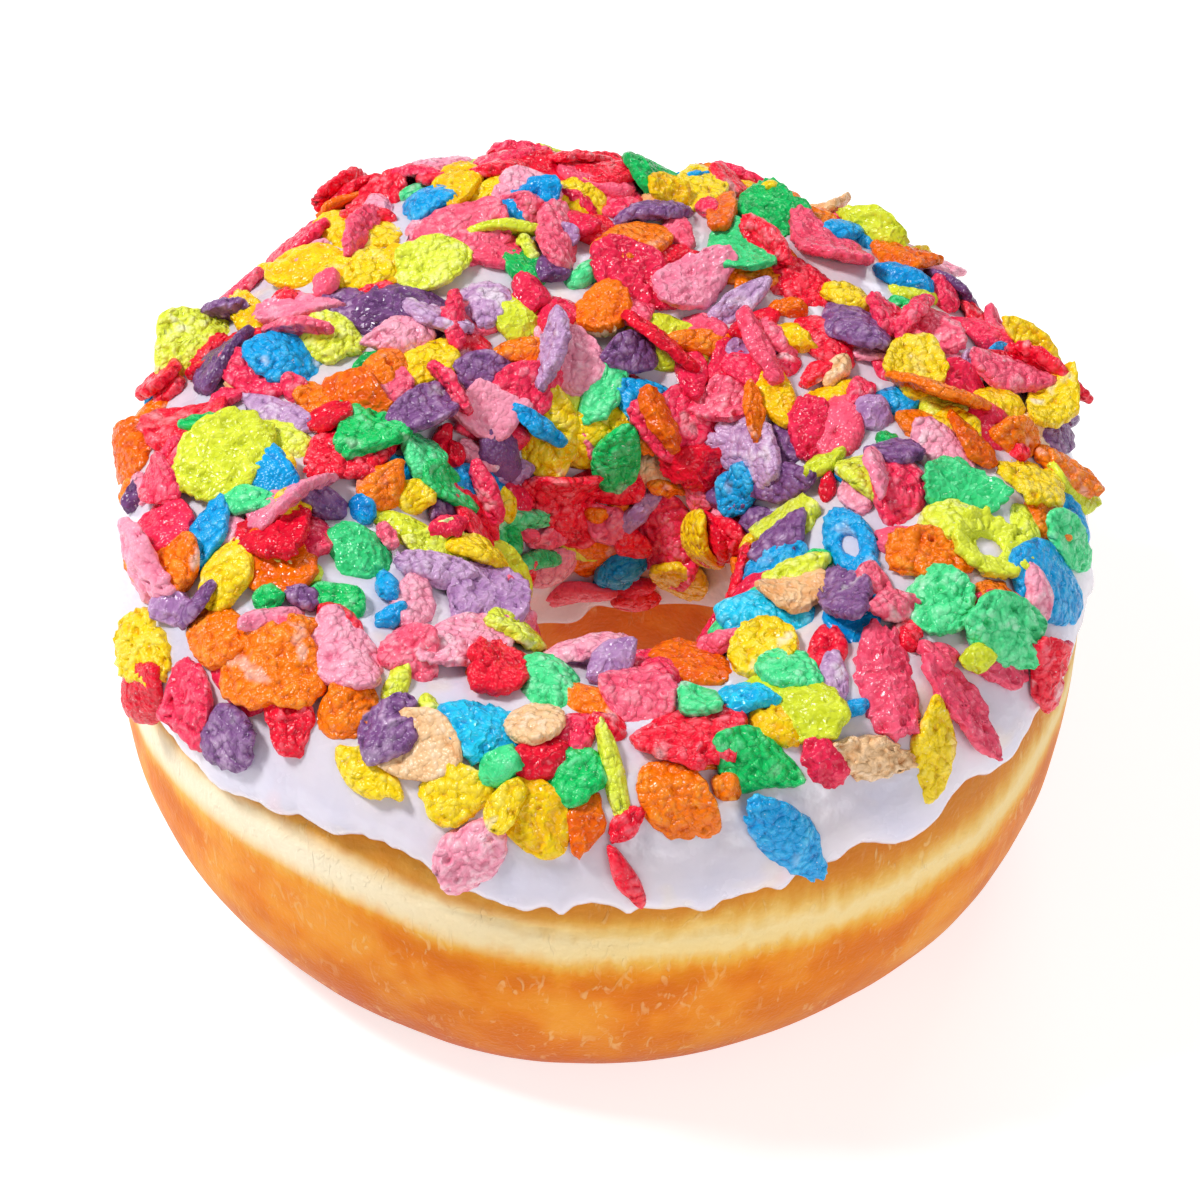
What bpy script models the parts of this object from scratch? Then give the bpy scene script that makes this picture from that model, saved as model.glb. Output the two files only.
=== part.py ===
"""Raised ring doughnut, iced on top and covered with flakes of crisped rice.

Two solids: the dough ring, and the icing with the flakes fused to it. Both follow one
uneven ring, which is longer at the back and has its hole set off towards the front.
Lengths are in metres and angles in radians unless a name says degrees. +Z is up, the
ring stands on Z = 0, and the front of the doughnut faces -Y.
"""
import math

import bmesh
import bpy
import numpy as np
from mathutils import Vector

MM = 0.001

# Dough ring
RIM_RADIUS = 44.6 * MM
BACK_STRETCH = 1.04
HOLE_RADIUS = 13.0 * MM
HOLE_CENTRE = (3.0 * MM, -9.6 * MM)
AXIS_PLACE = (-0.2 * MM, -0.2 * MM)
WAIST_HEIGHT = 21.6 * MM
WAIST_TILT = 1.8 * MM
CREST_ABOVE_WAIST = 16.4 * MM
CREST_TILT = 2.2 * MM
BELLY_BELOW_WAIST = 22.3 * MM
UPPER_ROUNDNESS = 2.35
LOWER_ROUNDNESS = 3.1
RING_STEPS = 56
DOUGH_SECTION_STEPS = 20
ICING_SECTION_STEPS = 24

# Icing
FIT_GAP = 0.35 * MM
ICING_THICKNESS = 1.9 * MM
ICING_EDGE_ABOVE_WAIST = 5.6 * MM
HOLE_EDGE_ABOVE_WAIST = 0.5 * MM
HOLE_EDGE_DROP_AT_BACK = 7.0 * MM
EDGE_SHARPNESS = 14
EDGE_ROUNDING = 0.96

# Flakes
FLAKE_SEED = 27
LOOSE_FLAKES = 290
SPREAD_TRIES = 6
SOLID_FLAKES = 130
FLAKE_LENGTH = (5.0 * MM, 10.5 * MM)
FLAKE_SLIMNESS = (0.52, 0.86)
FLAKE_THICKNESS = 1.5 * MM
FLAKE_SIDES = 7
LOWEST_SHARE = 0.13
BARE_FRONT_SHARE = 0.12
HIGHEST_SHARE = 0.93
LANDMARK_ROOM = 0.5
SPREAD_STEPS = (0.7548776662, 0.5698402910)
LARGEST_LEAN = 0.45
SEAT = 0.6
OWN_LEAN = 0.13
STANDING_SHARE = 0.08
FARTHEST_RISE = 0.6
SAME_SIDE = 0.2
CENTRE_RISE = 0.35
TOP_RISE = 0.6
HOLE_CLEARANCE = 5.6 * MM
ANCHOR_DEPTH = 0.8 * MM

# A flake's solid, in parts of its thickness and of its outline
OUTLINE_WOBBLE = 0.10
CROWN_RISE = 0.5
UPPER_RIM_RISE = 0.18
LOWER_RIM_RISE = -0.5
LOWER_RIM_SPREAD = 0.82

# The flakes that stand out, placed by eye from the far side to the near side: azimuth in
# degrees, share of the way from the icing's outer edge to its edge in the hole, length and
# width in mm, and the turn of the length in degrees, from along the ring to towards the hole
LANDMARKS = (
    (88, 0.20, 10.5, 5.5, 8), (79, 0.21, 8.0, 7.0, 85), (84, 0.28, 8.0, 7.5, 95), (68, 0.22, 9.0, 3.5, 105),
    (70, 0.37, 8.0, 3.0, 100), (52, 0.33, 11.0, 8.0, 160), (68, 0.48, 9.5, 5.5, 70),
    (54, 0.48, 8.0, 3.0, 75), (39, 0.39, 6.0, 4.0, 45), (45, 0.24, 8.0, 7.0, 125),
    (30, 0.30, 11.0, 6.0, 0), (52, 0.56, 8.0, 2.5, 30), (78, 0.61, 6.0, 4.0, 5),
    (132, 0.29, 11.0, 5.5, 100), (122, 0.32, 6.5, 5.5, 125), (130, 0.43, 7.5, 6.0, 170),
    (127, 0.49, 6.5, 5.5, 70), (153, 0.47, 7.0, 4.5, 160), (159, 0.43, 6.5, 5.5, 125),
    (153, 0.25, 11.0, 3.0, 60), (102, 0.57, 8.0, 2.0, 165), (127, 0.59, 6.0, 3.5, 150),
    (178, 0.27, 9.5, 6.5, 75), (180, 0.40, 8.0, 3.5, 55), (178, 0.56, 8.0, 4.5, 140),
    (30, 0.61, 6.5, 5.0, 50), (21, 0.56, 8.0, 4.0, 135), (4, 0.52, 8.5, 4.5, 160),
    (354, 0.45, 5.5, 5.0, 75), (356, 0.24, 8.0, 6.5, 170), (348, 0.38, 8.0, 7.5, 90),
    (339, 0.71, 7.5, 4.5, 70), (351, 0.67, 8.5, 4.0, 45), (15, 0.74, 7.0, 4.5, 10),
    (195, 0.69, 7.5, 4.5, 140), (154, 0.79, 9.0, 5.5, 0), (14, 0.92, 10.0, 7.0, 90),
    (37, 0.85, 7.5, 2.0, 55), (196, 0.22, 8.0, 6.5, 40), (217, 0.48, 7.5, 6.0, 35),
    (213, 0.56, 7.5, 4.0, 60), (194, 0.81, 11.0, 2.0, 155), (45, 0.94, 5.5, 3.5, 25),
    (330, 0.55, 10.0, 4.5, 25), (339, 0.32, 8.0, 7.5, 35), (340, 0.17, 10.0, 8.0, 115),
    (326, 0.39, 7.0, 7.0, 105), (208, 0.10, 9.0, 6.0, 5), (216, 0.24, 8.0, 5.5, 15),
    (210, 0.30, 8.0, 5.0, 135), (220, 0.33, 6.5, 3.0, 95), (240, 0.44, 6.5, 5.5, 0),
    (232, 0.52, 7.5, 4.5, 140), (224, 0.62, 7.0, 6.0, 70), (226, 0.69, 6.0, 4.5, 80),
    (228, 0.59, 7.5, 3.5, 70), (217, 0.87, 9.5, 3.5, 155), (210, 0.83, 7.5, 2.5, 150),
    (188, 0.93, 6.5, 5.0, 20), (199, 0.88, 8.5, 2.0, 155), (186, 0.86, 4.5, 2.5, 175),
    (45, 0.95, 5.5, 4.0, 55), (152, 0.96, 7.5, 3.5, 80), (32, 0.97, 4.5, 3.0, 10),
    (30, 0.98, 5.0, 3.0, 145), (6, 0.97, 6.5, 5.5, 45), (273, 0.74, 6.0, 3.5, 70),
    (254, 0.78, 9.0, 5.0, 95), (216, 0.94, 7.0, 2.5, 155), (315, 0.66, 6.5, 6.0, 140),
    (334, 0.92, 9.0, 6.0, 55), (302, 0.62, 6.5, 6.0, 30), (290, 0.76, 9.0, 6.0, 100),
    (332, 0.07, 9.0, 6.5, 95), (312, 0.39, 11.0, 5.5, 55), (312, 0.19, 9.5, 4.5, 65),
    (318, 0.22, 11.0, 4.5, 85), (304, 0.25, 8.0, 4.0, 155), (298, 0.46, 10.5, 6.0, 115),
    (291, 0.38, 8.5, 6.0, 135), (292, 0.14, 11.0, 4.5, 110), (286, 0.57, 4.5, 4.5, 105),
    (212, 0.04, 8.0, 6.0, 75), (219, 0.12, 8.0, 7.0, 145), (226, 0.12, 7.0, 6.0, 40),
    (232, 0.20, 6.5, 4.5, 125), (244, 0.19, 7.5, 4.0, 0), (238, 0.28, 6.0, 5.5, 70),
    (244, 0.30, 7.0, 5.5, 110), (255, 0.28, 6.5, 5.5, 35), (258, 0.15, 7.5, 5.5, 60),
    (264, 0.29, 8.5, 5.5, 130), (270, 0.28, 6.0, 3.5, 80), (280, 0.33, 8.5, 6.0, 125),
    (256, 0.46, 9.0, 7.5, 35), (268, 0.40, 5.5, 5.0, 95), (262, 0.62, 8.0, 7.0, 130),
    (278, 0.63, 8.0, 6.5, 105), (267, 0.51, 6.0, 4.5, 60), (273, 0.43, 10.5, 2.0, 110),
    (274, 0.14, 6.5, 2.0, 120),
)

# Grid on which the heap of flakes is measured, and how high it may be under a loose flake
HEAP_TURNS = 240
HEAP_ROWS = 90
HEAP_MARGIN = 0.02
HIGHEST_HEAP = 2.2 * MM


def power(value, exponent):
    """value to the power of exponent, keeping its sign."""
    return np.sign(value) * np.abs(value) ** exponent


def waist_height(turn):
    """Height of the pale waist at an azimuth: higher on the right than on the left."""
    return WAIST_HEIGHT + WAIST_TILT * np.cos(turn) + 0.35 * MM * np.cos(3 * turn + 1.1)


def crest_height(turn):
    """Height of the dough's crest over the waist, highest at the back."""
    lumps = 0.5 * MM * np.cos(2 * turn + 0.8) + 0.35 * MM * np.cos(5 * turn + 2.2)
    return CREST_ABOVE_WAIST + CREST_TILT * np.sin(turn) - WAIST_TILT * np.cos(turn) + lumps


def rim_radius(turn):
    """Outer radius at the waist: half a circle in front and half an oval at the back."""
    across, along = np.cos(turn), np.sin(turn)
    stretch = np.where(along > 0, BACK_STRETCH, 1.0)
    unevenness = 1 + 0.008 * np.cos(3 * turn + 0.4) + 0.005 * np.cos(5 * turn + 2.0)
    return RIM_RADIUS * unevenness / np.sqrt(across**2 + (along / stretch) ** 2)


def hole_radius(turn):
    """Distance from the ring's axis to the wall of the hole, a circle with its own centre."""
    toward = np.cos(turn) * HOLE_CENTRE[0] + np.sin(turn) * HOLE_CENTRE[1]
    aside = HOLE_CENTRE[0] ** 2 + HOLE_CENTRE[1] ** 2 - toward**2
    return toward + np.sqrt(HOLE_RADIUS**2 - aside)


def ring_surface(turn, around, lift=0.0):
    """Point at an azimuth and an angle round the section (0 outermost, a quarter turn at
    the crest, half a turn at the hole), lift outside the dough. The section is a
    superellipse between the hole and the rim, cut flat where the ring stands."""
    outer, inner = rim_radius(turn), hole_radius(turn)
    half_width = (outer - inner) / 2 + lift
    sine, cosine = np.sin(around), np.cos(around)
    above = sine > 0
    roundness = np.where(above, UPPER_ROUNDNESS, LOWER_ROUNDNESS)
    waist = waist_height(turn)
    reach = np.where(above, crest_height(turn) + lift, waist + BELLY_BELOW_WAIST - WAIST_HEIGHT)
    radius = (outer + inner) / 2 + half_width * power(cosine, 2 / roundness)
    height = np.maximum(waist + reach * power(sine, 2 / roundness), 0.0)
    return np.stack(
        [AXIS_PLACE[0] + radius * np.cos(turn), AXIS_PLACE[1] + radius * np.sin(turn), height], -1
    )


def angle_at(height, turn):
    """Angle round the section at which it reaches a height over the waist, or under it."""
    upper = np.clip(height / crest_height(turn), 0, 1) ** (UPPER_ROUNDNESS / 2)
    lower = np.clip(-height / BELLY_BELOW_WAIST, 0, 1) ** (LOWER_ROUNDNESS / 2)
    return np.arcsin(upper) - np.arcsin(lower)


def icing_limits(turn):
    """Angles round the section of the icing's scalloped outer edge and its edge in the hole."""
    scallops = (
        0.9 * np.cos(3 * turn + 0.5) + 0.7 * np.cos(7 * turn + 1.9) + 0.5 * np.cos(12 * turn)
    )
    outer = angle_at(ICING_EDGE_ABOVE_WAIST + scallops * MM, turn)
    far_side = (hole_radius(turn) * np.sin(turn) - HOLE_CENTRE[1]) / HOLE_RADIUS
    in_hole = HOLE_EDGE_ABOVE_WAIST - HOLE_EDGE_DROP_AT_BACK * far_side
    inner = math.pi - angle_at(in_hole + 0.4 * MM * np.cos(4 * turn), turn)
    return outer, inner


def icing_surface(turn, share, lift):
    """Point on the icing at a share of the way from its outer edge to its edge in the hole."""
    outer, inner = icing_limits(turn)
    return ring_surface(turn, outer + (inner - outer) * share, lift)


def icing_thickness(share):
    """Thickness across the icing: even, with both edges rounded off."""
    return ICING_THICKNESS * np.sqrt(1 - np.abs(2 * share - 1) ** EDGE_SHARPNESS * EDGE_ROUNDING)


def shaped_torus(name, section_steps, shape):
    """A torus whose points are moved to shape(azimuth, angle round the section)."""
    bpy.ops.mesh.primitive_torus_add(
        major_segments=RING_STEPS, minor_segments=section_steps, major_radius=2, minor_radius=1
    )
    torus = bpy.context.object
    torus.name = torus.data.name = name
    count = len(torus.data.vertices)
    flat = np.empty(count * 3, np.float32)
    torus.data.vertices.foreach_get("co", flat)
    x, y, z = flat.reshape(count, 3).T.astype(float)
    turn, around = np.arctan2(y, x), np.arctan2(z, np.hypot(x, y) - 2)
    torus.data.vertices.foreach_set("co", shape(turn, around % math.tau).astype(np.float32).ravel())
    torus.data.update()
    return torus


def icing_section(turn, around):
    """The first half turn runs over the icing's outer face, the second back along the dough."""
    share = 1 - np.abs(around / math.pi - 1)
    outside = (around > 0) & (around < math.pi)
    return icing_surface(turn, share, FIT_GAP + outside * icing_thickness(share))


def heap_grid():
    """Points, outward normals and cell areas of the icing's outer face, on an even grid."""
    turn = np.linspace(0, math.tau, HEAP_TURNS, endpoint=False)[:, None]
    share = np.linspace(HEAP_MARGIN, 1 - HEAP_MARGIN, HEAP_ROWS)[None, :]
    lift = FIT_GAP + icing_thickness(share)
    places = icing_surface(turn + 0 * share, share + 0 * turn, lift)
    along = np.roll(places, -1, 0) - np.roll(places, 1, 0)
    inward = np.gradient(places, axis=1)
    normals = np.cross(along, inward)
    areas = np.linalg.norm(normals, axis=-1)
    return share[0], places, normals / areas[..., None], areas


def scattered(rng, landmarks):
    """Azimuth, share across the icing, length, width and turn of the loose flakes, smallest
    first. Two irrational steps spread them evenly; more of them go where the ring is wider,
    and none under the middle of a landmark or on the bare front of the icing."""
    number = np.arange(SPREAD_TRIES * LOOSE_FLAKES)
    turn = (number * SPREAD_STEPS[0] % 1) * math.tau
    lowest = LOWEST_SHARE + BARE_FRONT_SHARE * np.maximum(-np.sin(turn), 0) ** 2
    share = lowest + (HIGHEST_SHARE - lowest) * (number * SPREAD_STEPS[1] % 1)
    places = icing_surface(turn, share, 0.0)
    outward = np.hypot(places[:, 0] - AXIS_PLACE[0], places[:, 1] - AXIS_PLACE[1])
    kept = rng.random(number.size) < outward / (RIM_RADIUS * BACK_STRETCH)
    taken = icing_surface(landmarks[:, 0], landmarks[:, 1], 0.0)
    apart = np.linalg.norm(places[:, None] - taken[None], axis=-1)
    kept &= (apart > LANDMARK_ROOM * landmarks[:, 2]).all(axis=1)
    turn, share = turn[kept][:LOOSE_FLAKES], share[kept][:LOOSE_FLAKES]
    draw = rng.random((LOOSE_FLAKES, 3))
    length = FLAKE_LENGTH[0] + (FLAKE_LENGTH[1] - FLAKE_LENGTH[0]) * draw[:, 0] ** 1.4
    width = length * (FLAKE_SLIMNESS[0] + (FLAKE_SLIMNESS[1] - FLAKE_SLIMNESS[0]) * draw[:, 1])
    order = np.argsort(length)
    rows = np.stack([turn, share, length, width, math.tau * draw[:, 2]], -1)
    return rows[order]


def lay_flakes():
    """Lays the flakes one after another on the growing heap, the landmarks last.

    Each flake takes the plane that best fits the heap under it, raised until most of it
    lies on top, with a small lean of its own. The heap then rises to its upper face. Loose
    flakes slide off where it is already high, and the few that stand on edge are left out.
    Returns for each: centre, (long, short, normal) directions, length, width, foot; and
    the area of each that shows at the end."""
    rng = np.random.default_rng(FLAKE_SEED)
    landmarks = np.array(LANDMARKS) * (math.radians(1), 1, MM, MM, math.radians(1))
    shares, places, normals, areas = heap_grid()
    heap = np.zeros(areas.shape)
    on_top = np.zeros(areas.shape, int)
    laid = []
    rows = [*scattered(rng, landmarks), *landmarks]
    for number, (turn, share, length, width, turned) in enumerate(rows):
        own_lean = rng.normal(0, OWN_LEAN, 2)
        standing = rng.random() < STANDING_SHARE
        i = int(round(turn / math.tau * HEAP_TURNS)) % HEAP_TURNS
        j = int(np.abs(shares - share).argmin())
        if number < LOOSE_FLAKES and (standing or heap[i, j] > HIGHEST_HEAP):
            continue
        foot, normal = places[i, j], normals[i, j]
        along = places[(i + 1) % HEAP_TURNS, j] - places[i - 1, j]
        along -= normal * (along @ normal)
        along /= np.linalg.norm(along)
        inward = np.cross(normal, along)
        long_way = math.cos(turned) * along + math.sin(turned) * inward
        short_way = np.cross(normal, long_way)
        away = places - foot
        x, y, rise = away @ long_way, away @ short_way, away @ normal
        under = np.hypot(2 * x / length, 2 * y / width) < 1
        under &= (normals @ normal > SAME_SIDE) & (np.abs(rise) < FARTHEST_RISE * length)
        level = (rise + heap)[under]
        base = np.stack([np.ones(level.size), x[under], y[under]], -1)
        height, lean_x, lean_y = np.linalg.lstsq(base, level, rcond=None)[0]
        lean_x, lean_y = np.clip([lean_x, lean_y], -LARGEST_LEAN, LARGEST_LEAN) + own_lean
        plane = lean_x * x + lean_y * y
        height = np.quantile(level - plane[under], SEAT)
        top = height + plane + FLAKE_THICKNESS * TOP_RISE - rise
        on_top[under & (top > heap)] = len(laid) + 1
        heap[under] = np.maximum(heap, top)[under]
        face = normal - lean_x * long_way - lean_y * short_way
        face /= np.linalg.norm(face)
        long_way = long_way - face * (long_way @ face)
        long_way /= np.linalg.norm(long_way)
        centre = foot + normal * (height + CENTRE_RISE * FLAKE_THICKNESS)
        ways = np.stack([long_way, np.cross(face, long_way), face], -1)
        laid.append((centre, ways, length, width, foot - normal * ANCHOR_DEPTH))
    shown = np.bincount(on_top.ravel(), weights=areas.ravel(), minlength=len(laid) + 1)
    return laid, shown[1:]


def flake_points(sphere, centre, ways, length, width, foot, rng):
    """Moves a coarse sphere's points to a flake: a pointed oval with an uneven outline, a
    low crown, and an underside drawn down to its foot in the icing."""
    wobble = 1 + rng.normal(0, OUTLINE_WOBBLE, FLAKE_SIDES)
    for vertex in sphere.verts:
        x, y, z = vertex.co
        radius = math.hypot(x, y)
        if radius < 1e-6:
            tip = centre + ways[:, 2] * FLAKE_THICKNESS * CROWN_RISE
            vertex.co = Vector(tip if z > 0 else foot)
            continue
        turn = math.atan2(y, x)
        spread = wobble[round(turn / math.tau * FLAKE_SIDES) % FLAKE_SIDES]
        spread *= 1.0 if z > 0 else LOWER_RIM_SPREAD
        rise = FLAKE_THICKNESS * (UPPER_RIM_RISE if z > 0 else LOWER_RIM_RISE)
        offset = (
            ways[:, 0] * length / 2 * spread * math.cos(turn)
            + ways[:, 1] * width / 2 * spread * math.sin(turn)
            + ways[:, 2] * rise
        )
        vertex.co = Vector(centre + offset)


def flake_solid(number, flake, rng, collection):
    """One coarse closed flake as an object of the collection."""
    sphere = bmesh.new()
    bmesh.ops.create_uvsphere(sphere, u_segments=FLAKE_SIDES, v_segments=3, radius=1)
    flake_points(sphere, *flake, rng)
    bmesh.ops.recalc_face_normals(sphere, faces=sphere.faces)
    mesh = bpy.data.meshes.new(f"flake_{number}")
    sphere.to_mesh(mesh)
    sphere.free()
    flake_object = bpy.data.objects.new(mesh.name, mesh)
    collection.objects.link(flake_object)
    return flake_object


def clear_of_hole(flake):
    """Whether a flake leaves the open middle of the hole free."""
    centre, ways, length, width, _ = flake
    turn = np.linspace(0, math.tau, 16)
    outline = (
        centre
        + np.outer(np.cos(turn) * length / 2, ways[:, 0])
        + np.outer(np.sin(turn) * width / 2, ways[:, 1])
    )
    middle = np.add(HOLE_CENTRE, AXIS_PLACE)
    return np.linalg.norm(outline[:, :2] - middle, axis=1).min() > HOLE_CLEARANCE


def joined_faces(bm):
    """Splits a mesh's faces into lists that hang together across edges."""
    unseen, groups = set(bm.faces), []
    while unseen:
        front = [unseen.pop()]
        group = list(front)
        while front:
            around = {face for edge in front.pop().edges for face in edge.link_faces}
            fresh = around & unseen
            unseen -= fresh
            front += fresh
            group += fresh
        groups.append(group)
    return groups


def keep_outer_skin(mesh):
    """Fills the hollows that fusing shut and drops loose scraps: only the largest run of
    faces that hang together stays."""
    bm = bmesh.new()
    bm.from_mesh(mesh)
    *others, _ = sorted(joined_faces(bm), key=len)
    bmesh.ops.delete(bm, geom=[face for group in others for face in group], context="FACES")
    bm.to_mesh(mesh)
    bm.free()


def fuse(base, collection):
    """Joins a collection's solids to base with one union, then removes the collection."""
    union = base.modifiers.new("fused flakes", "BOOLEAN")
    union.operation, union.operand_type, union.solver = "UNION", "COLLECTION", "EXACT"
    union.collection = collection
    bpy.context.view_layer.update()
    evaluated = base.evaluated_get(bpy.context.evaluated_depsgraph_get())
    joined = bpy.data.meshes.new_from_object(evaluated)
    base.modifiers.clear()
    base.data = joined
    keep_outer_skin(joined)
    for piece in list(collection.objects):
        bpy.data.objects.remove(piece)
    bpy.data.collections.remove(collection)


def finish(name, colour, roughness):
    """A Principled material of one colour."""
    material = bpy.data.materials.new(name)
    material.use_nodes = True
    shader = material.node_tree.nodes["Principled BSDF"]
    shader.inputs["Base Color"].default_value = (*colour, 1)
    shader.inputs["Roughness"].default_value = roughness
    shader.inputs["Metallic"].default_value = 0.0
    return material


def build():
    for leftover in list(bpy.data.objects):
        bpy.data.objects.remove(leftover)
    parts = bpy.data.collections.new("iced_ring_doughnut")
    bpy.context.scene.collection.children.link(parts)
    toppings = bpy.data.collections.new("flakes")
    bpy.context.scene.collection.children.link(toppings)

    dough = shaped_torus("dough", DOUGH_SECTION_STEPS, ring_surface)
    dough.data.materials.append(finish("baked dough", (0.72, 0.40, 0.12), 0.5))
    icing = shaped_torus("icing", ICING_SECTION_STEPS, icing_section)
    icing.data.materials.append(finish("white icing", (0.86, 0.84, 0.88), 0.25))

    flakes, shown = lay_flakes()
    most_shown = [k for k in np.argsort(-shown) if clear_of_hole(flakes[k])][:SOLID_FLAKES]
    rng = np.random.default_rng(FLAKE_SEED + 1)
    for number in sorted(most_shown):
        flake_solid(number, flakes[number], rng, toppings)
    fuse(icing, toppings)

    for part in (dough, icing):
        for holder in part.users_collection:
            holder.objects.unlink(part)
        parts.objects.link(part)
        part.data.shade_smooth()
        part.data.set_sharp_from_angle(angle=math.radians(40))


build()
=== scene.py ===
# %% [markdown]
# # A frosted ring doughnut under bright cereal flakes
# The real thing is a yeast-raised ring of fried dough. Its top was dipped in white icing, and
# flat flakes of crisped rice were heaped on while the icing was wet. We load the plain solids
# first, because every fine surface that we make has to lie where they lie.

# %% Load the fixed frame
import math

import bpy
import numpy as np
from mathutils import Matrix, Vector


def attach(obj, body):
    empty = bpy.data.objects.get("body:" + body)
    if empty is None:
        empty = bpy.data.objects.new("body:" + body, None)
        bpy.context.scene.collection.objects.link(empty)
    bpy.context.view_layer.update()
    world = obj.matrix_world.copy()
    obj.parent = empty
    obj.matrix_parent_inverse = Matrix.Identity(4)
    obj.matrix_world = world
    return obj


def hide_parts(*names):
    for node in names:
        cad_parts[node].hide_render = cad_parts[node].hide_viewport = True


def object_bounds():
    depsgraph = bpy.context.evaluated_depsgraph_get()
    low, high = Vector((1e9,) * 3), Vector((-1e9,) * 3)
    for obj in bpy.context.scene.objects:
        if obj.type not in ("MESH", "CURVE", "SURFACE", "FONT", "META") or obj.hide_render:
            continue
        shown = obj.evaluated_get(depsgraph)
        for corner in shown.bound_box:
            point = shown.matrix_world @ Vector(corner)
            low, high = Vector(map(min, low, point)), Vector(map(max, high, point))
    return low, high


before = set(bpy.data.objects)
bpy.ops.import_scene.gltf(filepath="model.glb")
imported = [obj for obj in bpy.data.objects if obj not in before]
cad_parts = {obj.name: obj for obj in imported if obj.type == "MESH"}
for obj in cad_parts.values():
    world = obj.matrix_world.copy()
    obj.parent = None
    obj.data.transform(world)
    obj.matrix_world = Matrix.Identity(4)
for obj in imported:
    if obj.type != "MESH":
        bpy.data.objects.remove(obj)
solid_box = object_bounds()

MM = 0.001
print("nodes:", sorted(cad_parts), "box in mm:", [round(v / MM, 1) for v in solid_box[1]])

# %% [markdown]
# ## The uneven ring
# No real doughnut is a torus. This one is longer at the back, its hole sits off the middle and
# its crest is highest at the far side. Instead of a mesh that is pushed about, we keep the ring
# as a few formulas of the azimuth, so the dough, the icing and the flakes can all ask the same
# functions where the surface is.

# %% Rim, hole, waist and crest as functions of the azimuth
RIM_RADIUS, BACK_STRETCH = 44.6 * MM, 1.04
HOLE_RADIUS, HOLE_CENTRE = 13.0 * MM, (3.0 * MM, -9.6 * MM)
AXIS_PLACE = (-0.2 * MM, -0.2 * MM)
WAIST_HEIGHT, WAIST_TILT = 21.6 * MM, 1.8 * MM
CREST_ABOVE_WAIST, CREST_TILT = 16.4 * MM, 2.2 * MM
BELLY_BELOW_WAIST = 22.3 * MM


def waist_height(turn):
    """Mean height, plus a tilt to the right, plus a small wave of three humps."""
    return WAIST_HEIGHT + WAIST_TILT * np.cos(turn) + 0.35 * MM * np.cos(3 * turn + 1.1)


def crest_height(turn):
    """Height of the crest over the waist: mean, tilt to the back, and waves of 2 and 5 humps."""
    lumps = 0.5 * MM * np.cos(2 * turn + 0.8) + 0.35 * MM * np.cos(5 * turn + 2.2)
    return CREST_ABOVE_WAIST + CREST_TILT * np.sin(turn) - WAIST_TILT * np.cos(turn) + lumps


def rim_radius(turn):
    """A circle in front and an oval behind, times a wave of under two per cent."""
    across, along = np.cos(turn), np.sin(turn)
    stretch = np.where(along > 0, BACK_STRETCH, 1.0)
    unevenness = 1 + 0.008 * np.cos(3 * turn + 0.4) + 0.005 * np.cos(5 * turn + 2.0)
    return RIM_RADIUS * unevenness / np.sqrt(across**2 + (along / stretch) ** 2)


def hole_radius(turn):
    """Distance from the ring's axis to a circle about another centre, by the cosine rule."""
    toward = np.cos(turn) * HOLE_CENTRE[0] + np.sin(turn) * HOLE_CENTRE[1]
    aside = HOLE_CENTRE[0] ** 2 + HOLE_CENTRE[1] ** 2 - toward**2
    return toward + np.sqrt(HOLE_RADIUS**2 - aside)


print("rim in mm, front and back:", (rim_radius(np.array([-1.57, 1.57])) / MM).round(1))

# %% [markdown]
# ## The section of the ring
# Cut the ring and you see a shape between a circle and a rounded square: a superellipse. Dough
# that proved on a tray is squarer below than above. One function gives a point of the surface
# for an azimuth and an angle round the section, as whole arrays at once.

# %% The ring's surface
UPPER_ROUNDNESS, LOWER_ROUNDNESS = 2.35, 3.1


def power(value, exponent):
    """value to the power of exponent, keeping its sign."""
    return np.sign(value) * np.abs(value) ** exponent


def ring_surface(turn, around, lift=0.0):
    """Superellipse: radius = middle + half width * cos^(2/n), height = waist + reach *
    sin^(2/n), cut flat at the floor. Angle 0 is outermost, a quarter turn is the crest."""
    outer, inner = rim_radius(turn), hole_radius(turn)
    half_width = (outer - inner) / 2 + lift
    sine, cosine = np.sin(around), np.cos(around)
    above = sine > 0
    roundness = np.where(above, UPPER_ROUNDNESS, LOWER_ROUNDNESS)
    waist = waist_height(turn)
    reach = np.where(above, crest_height(turn) + lift, waist + BELLY_BELOW_WAIST - WAIST_HEIGHT)
    radius = (outer + inner) / 2 + half_width * power(cosine, 2 / roundness)
    height = np.maximum(waist + reach * power(sine, 2 / roundness), 0.0)
    return np.stack(
        [AXIS_PLACE[0] + radius * np.cos(turn), AXIS_PLACE[1] + radius * np.sin(turn), height], -1
    )


print("crest at the back in mm:", (ring_surface(1.57, 1.57) / MM).round(1))

# %% [markdown]
# ## Camera
# The picture was taken from the front, looking down at about 44 degrees with a long lens, and
# held a little crooked. We aim at the ring's axis at waist height and let a small shift put
# that point where the picture has it.

# %% Camera at the picture's angle
PICTURE_SIZE = 1200
TARGET_PIXEL = (596, 582)
PIXELS_PER_MM = 10.65
CAMERA_ELEVATION, CAMERA_ROLL = math.radians(44.5), math.radians(2.5)
CAMERA_DISTANCE = 320 * MM

camera_data = bpy.data.cameras.new("camera")
camera_data.sensor_width = 36
camera_data.lens = PIXELS_PER_MM * CAMERA_DISTANCE / MM / PICTURE_SIZE * camera_data.sensor_width
camera_data.shift_x = 0.5 - TARGET_PIXEL[0] / PICTURE_SIZE
camera_data.shift_y = TARGET_PIXEL[1] / PICTURE_SIZE - 0.5
camera_data.clip_start, camera_data.clip_end = 0.01, 20
camera = bpy.data.objects.new("camera", camera_data)
bpy.context.scene.collection.objects.link(camera)
bpy.context.scene.camera = camera

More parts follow.
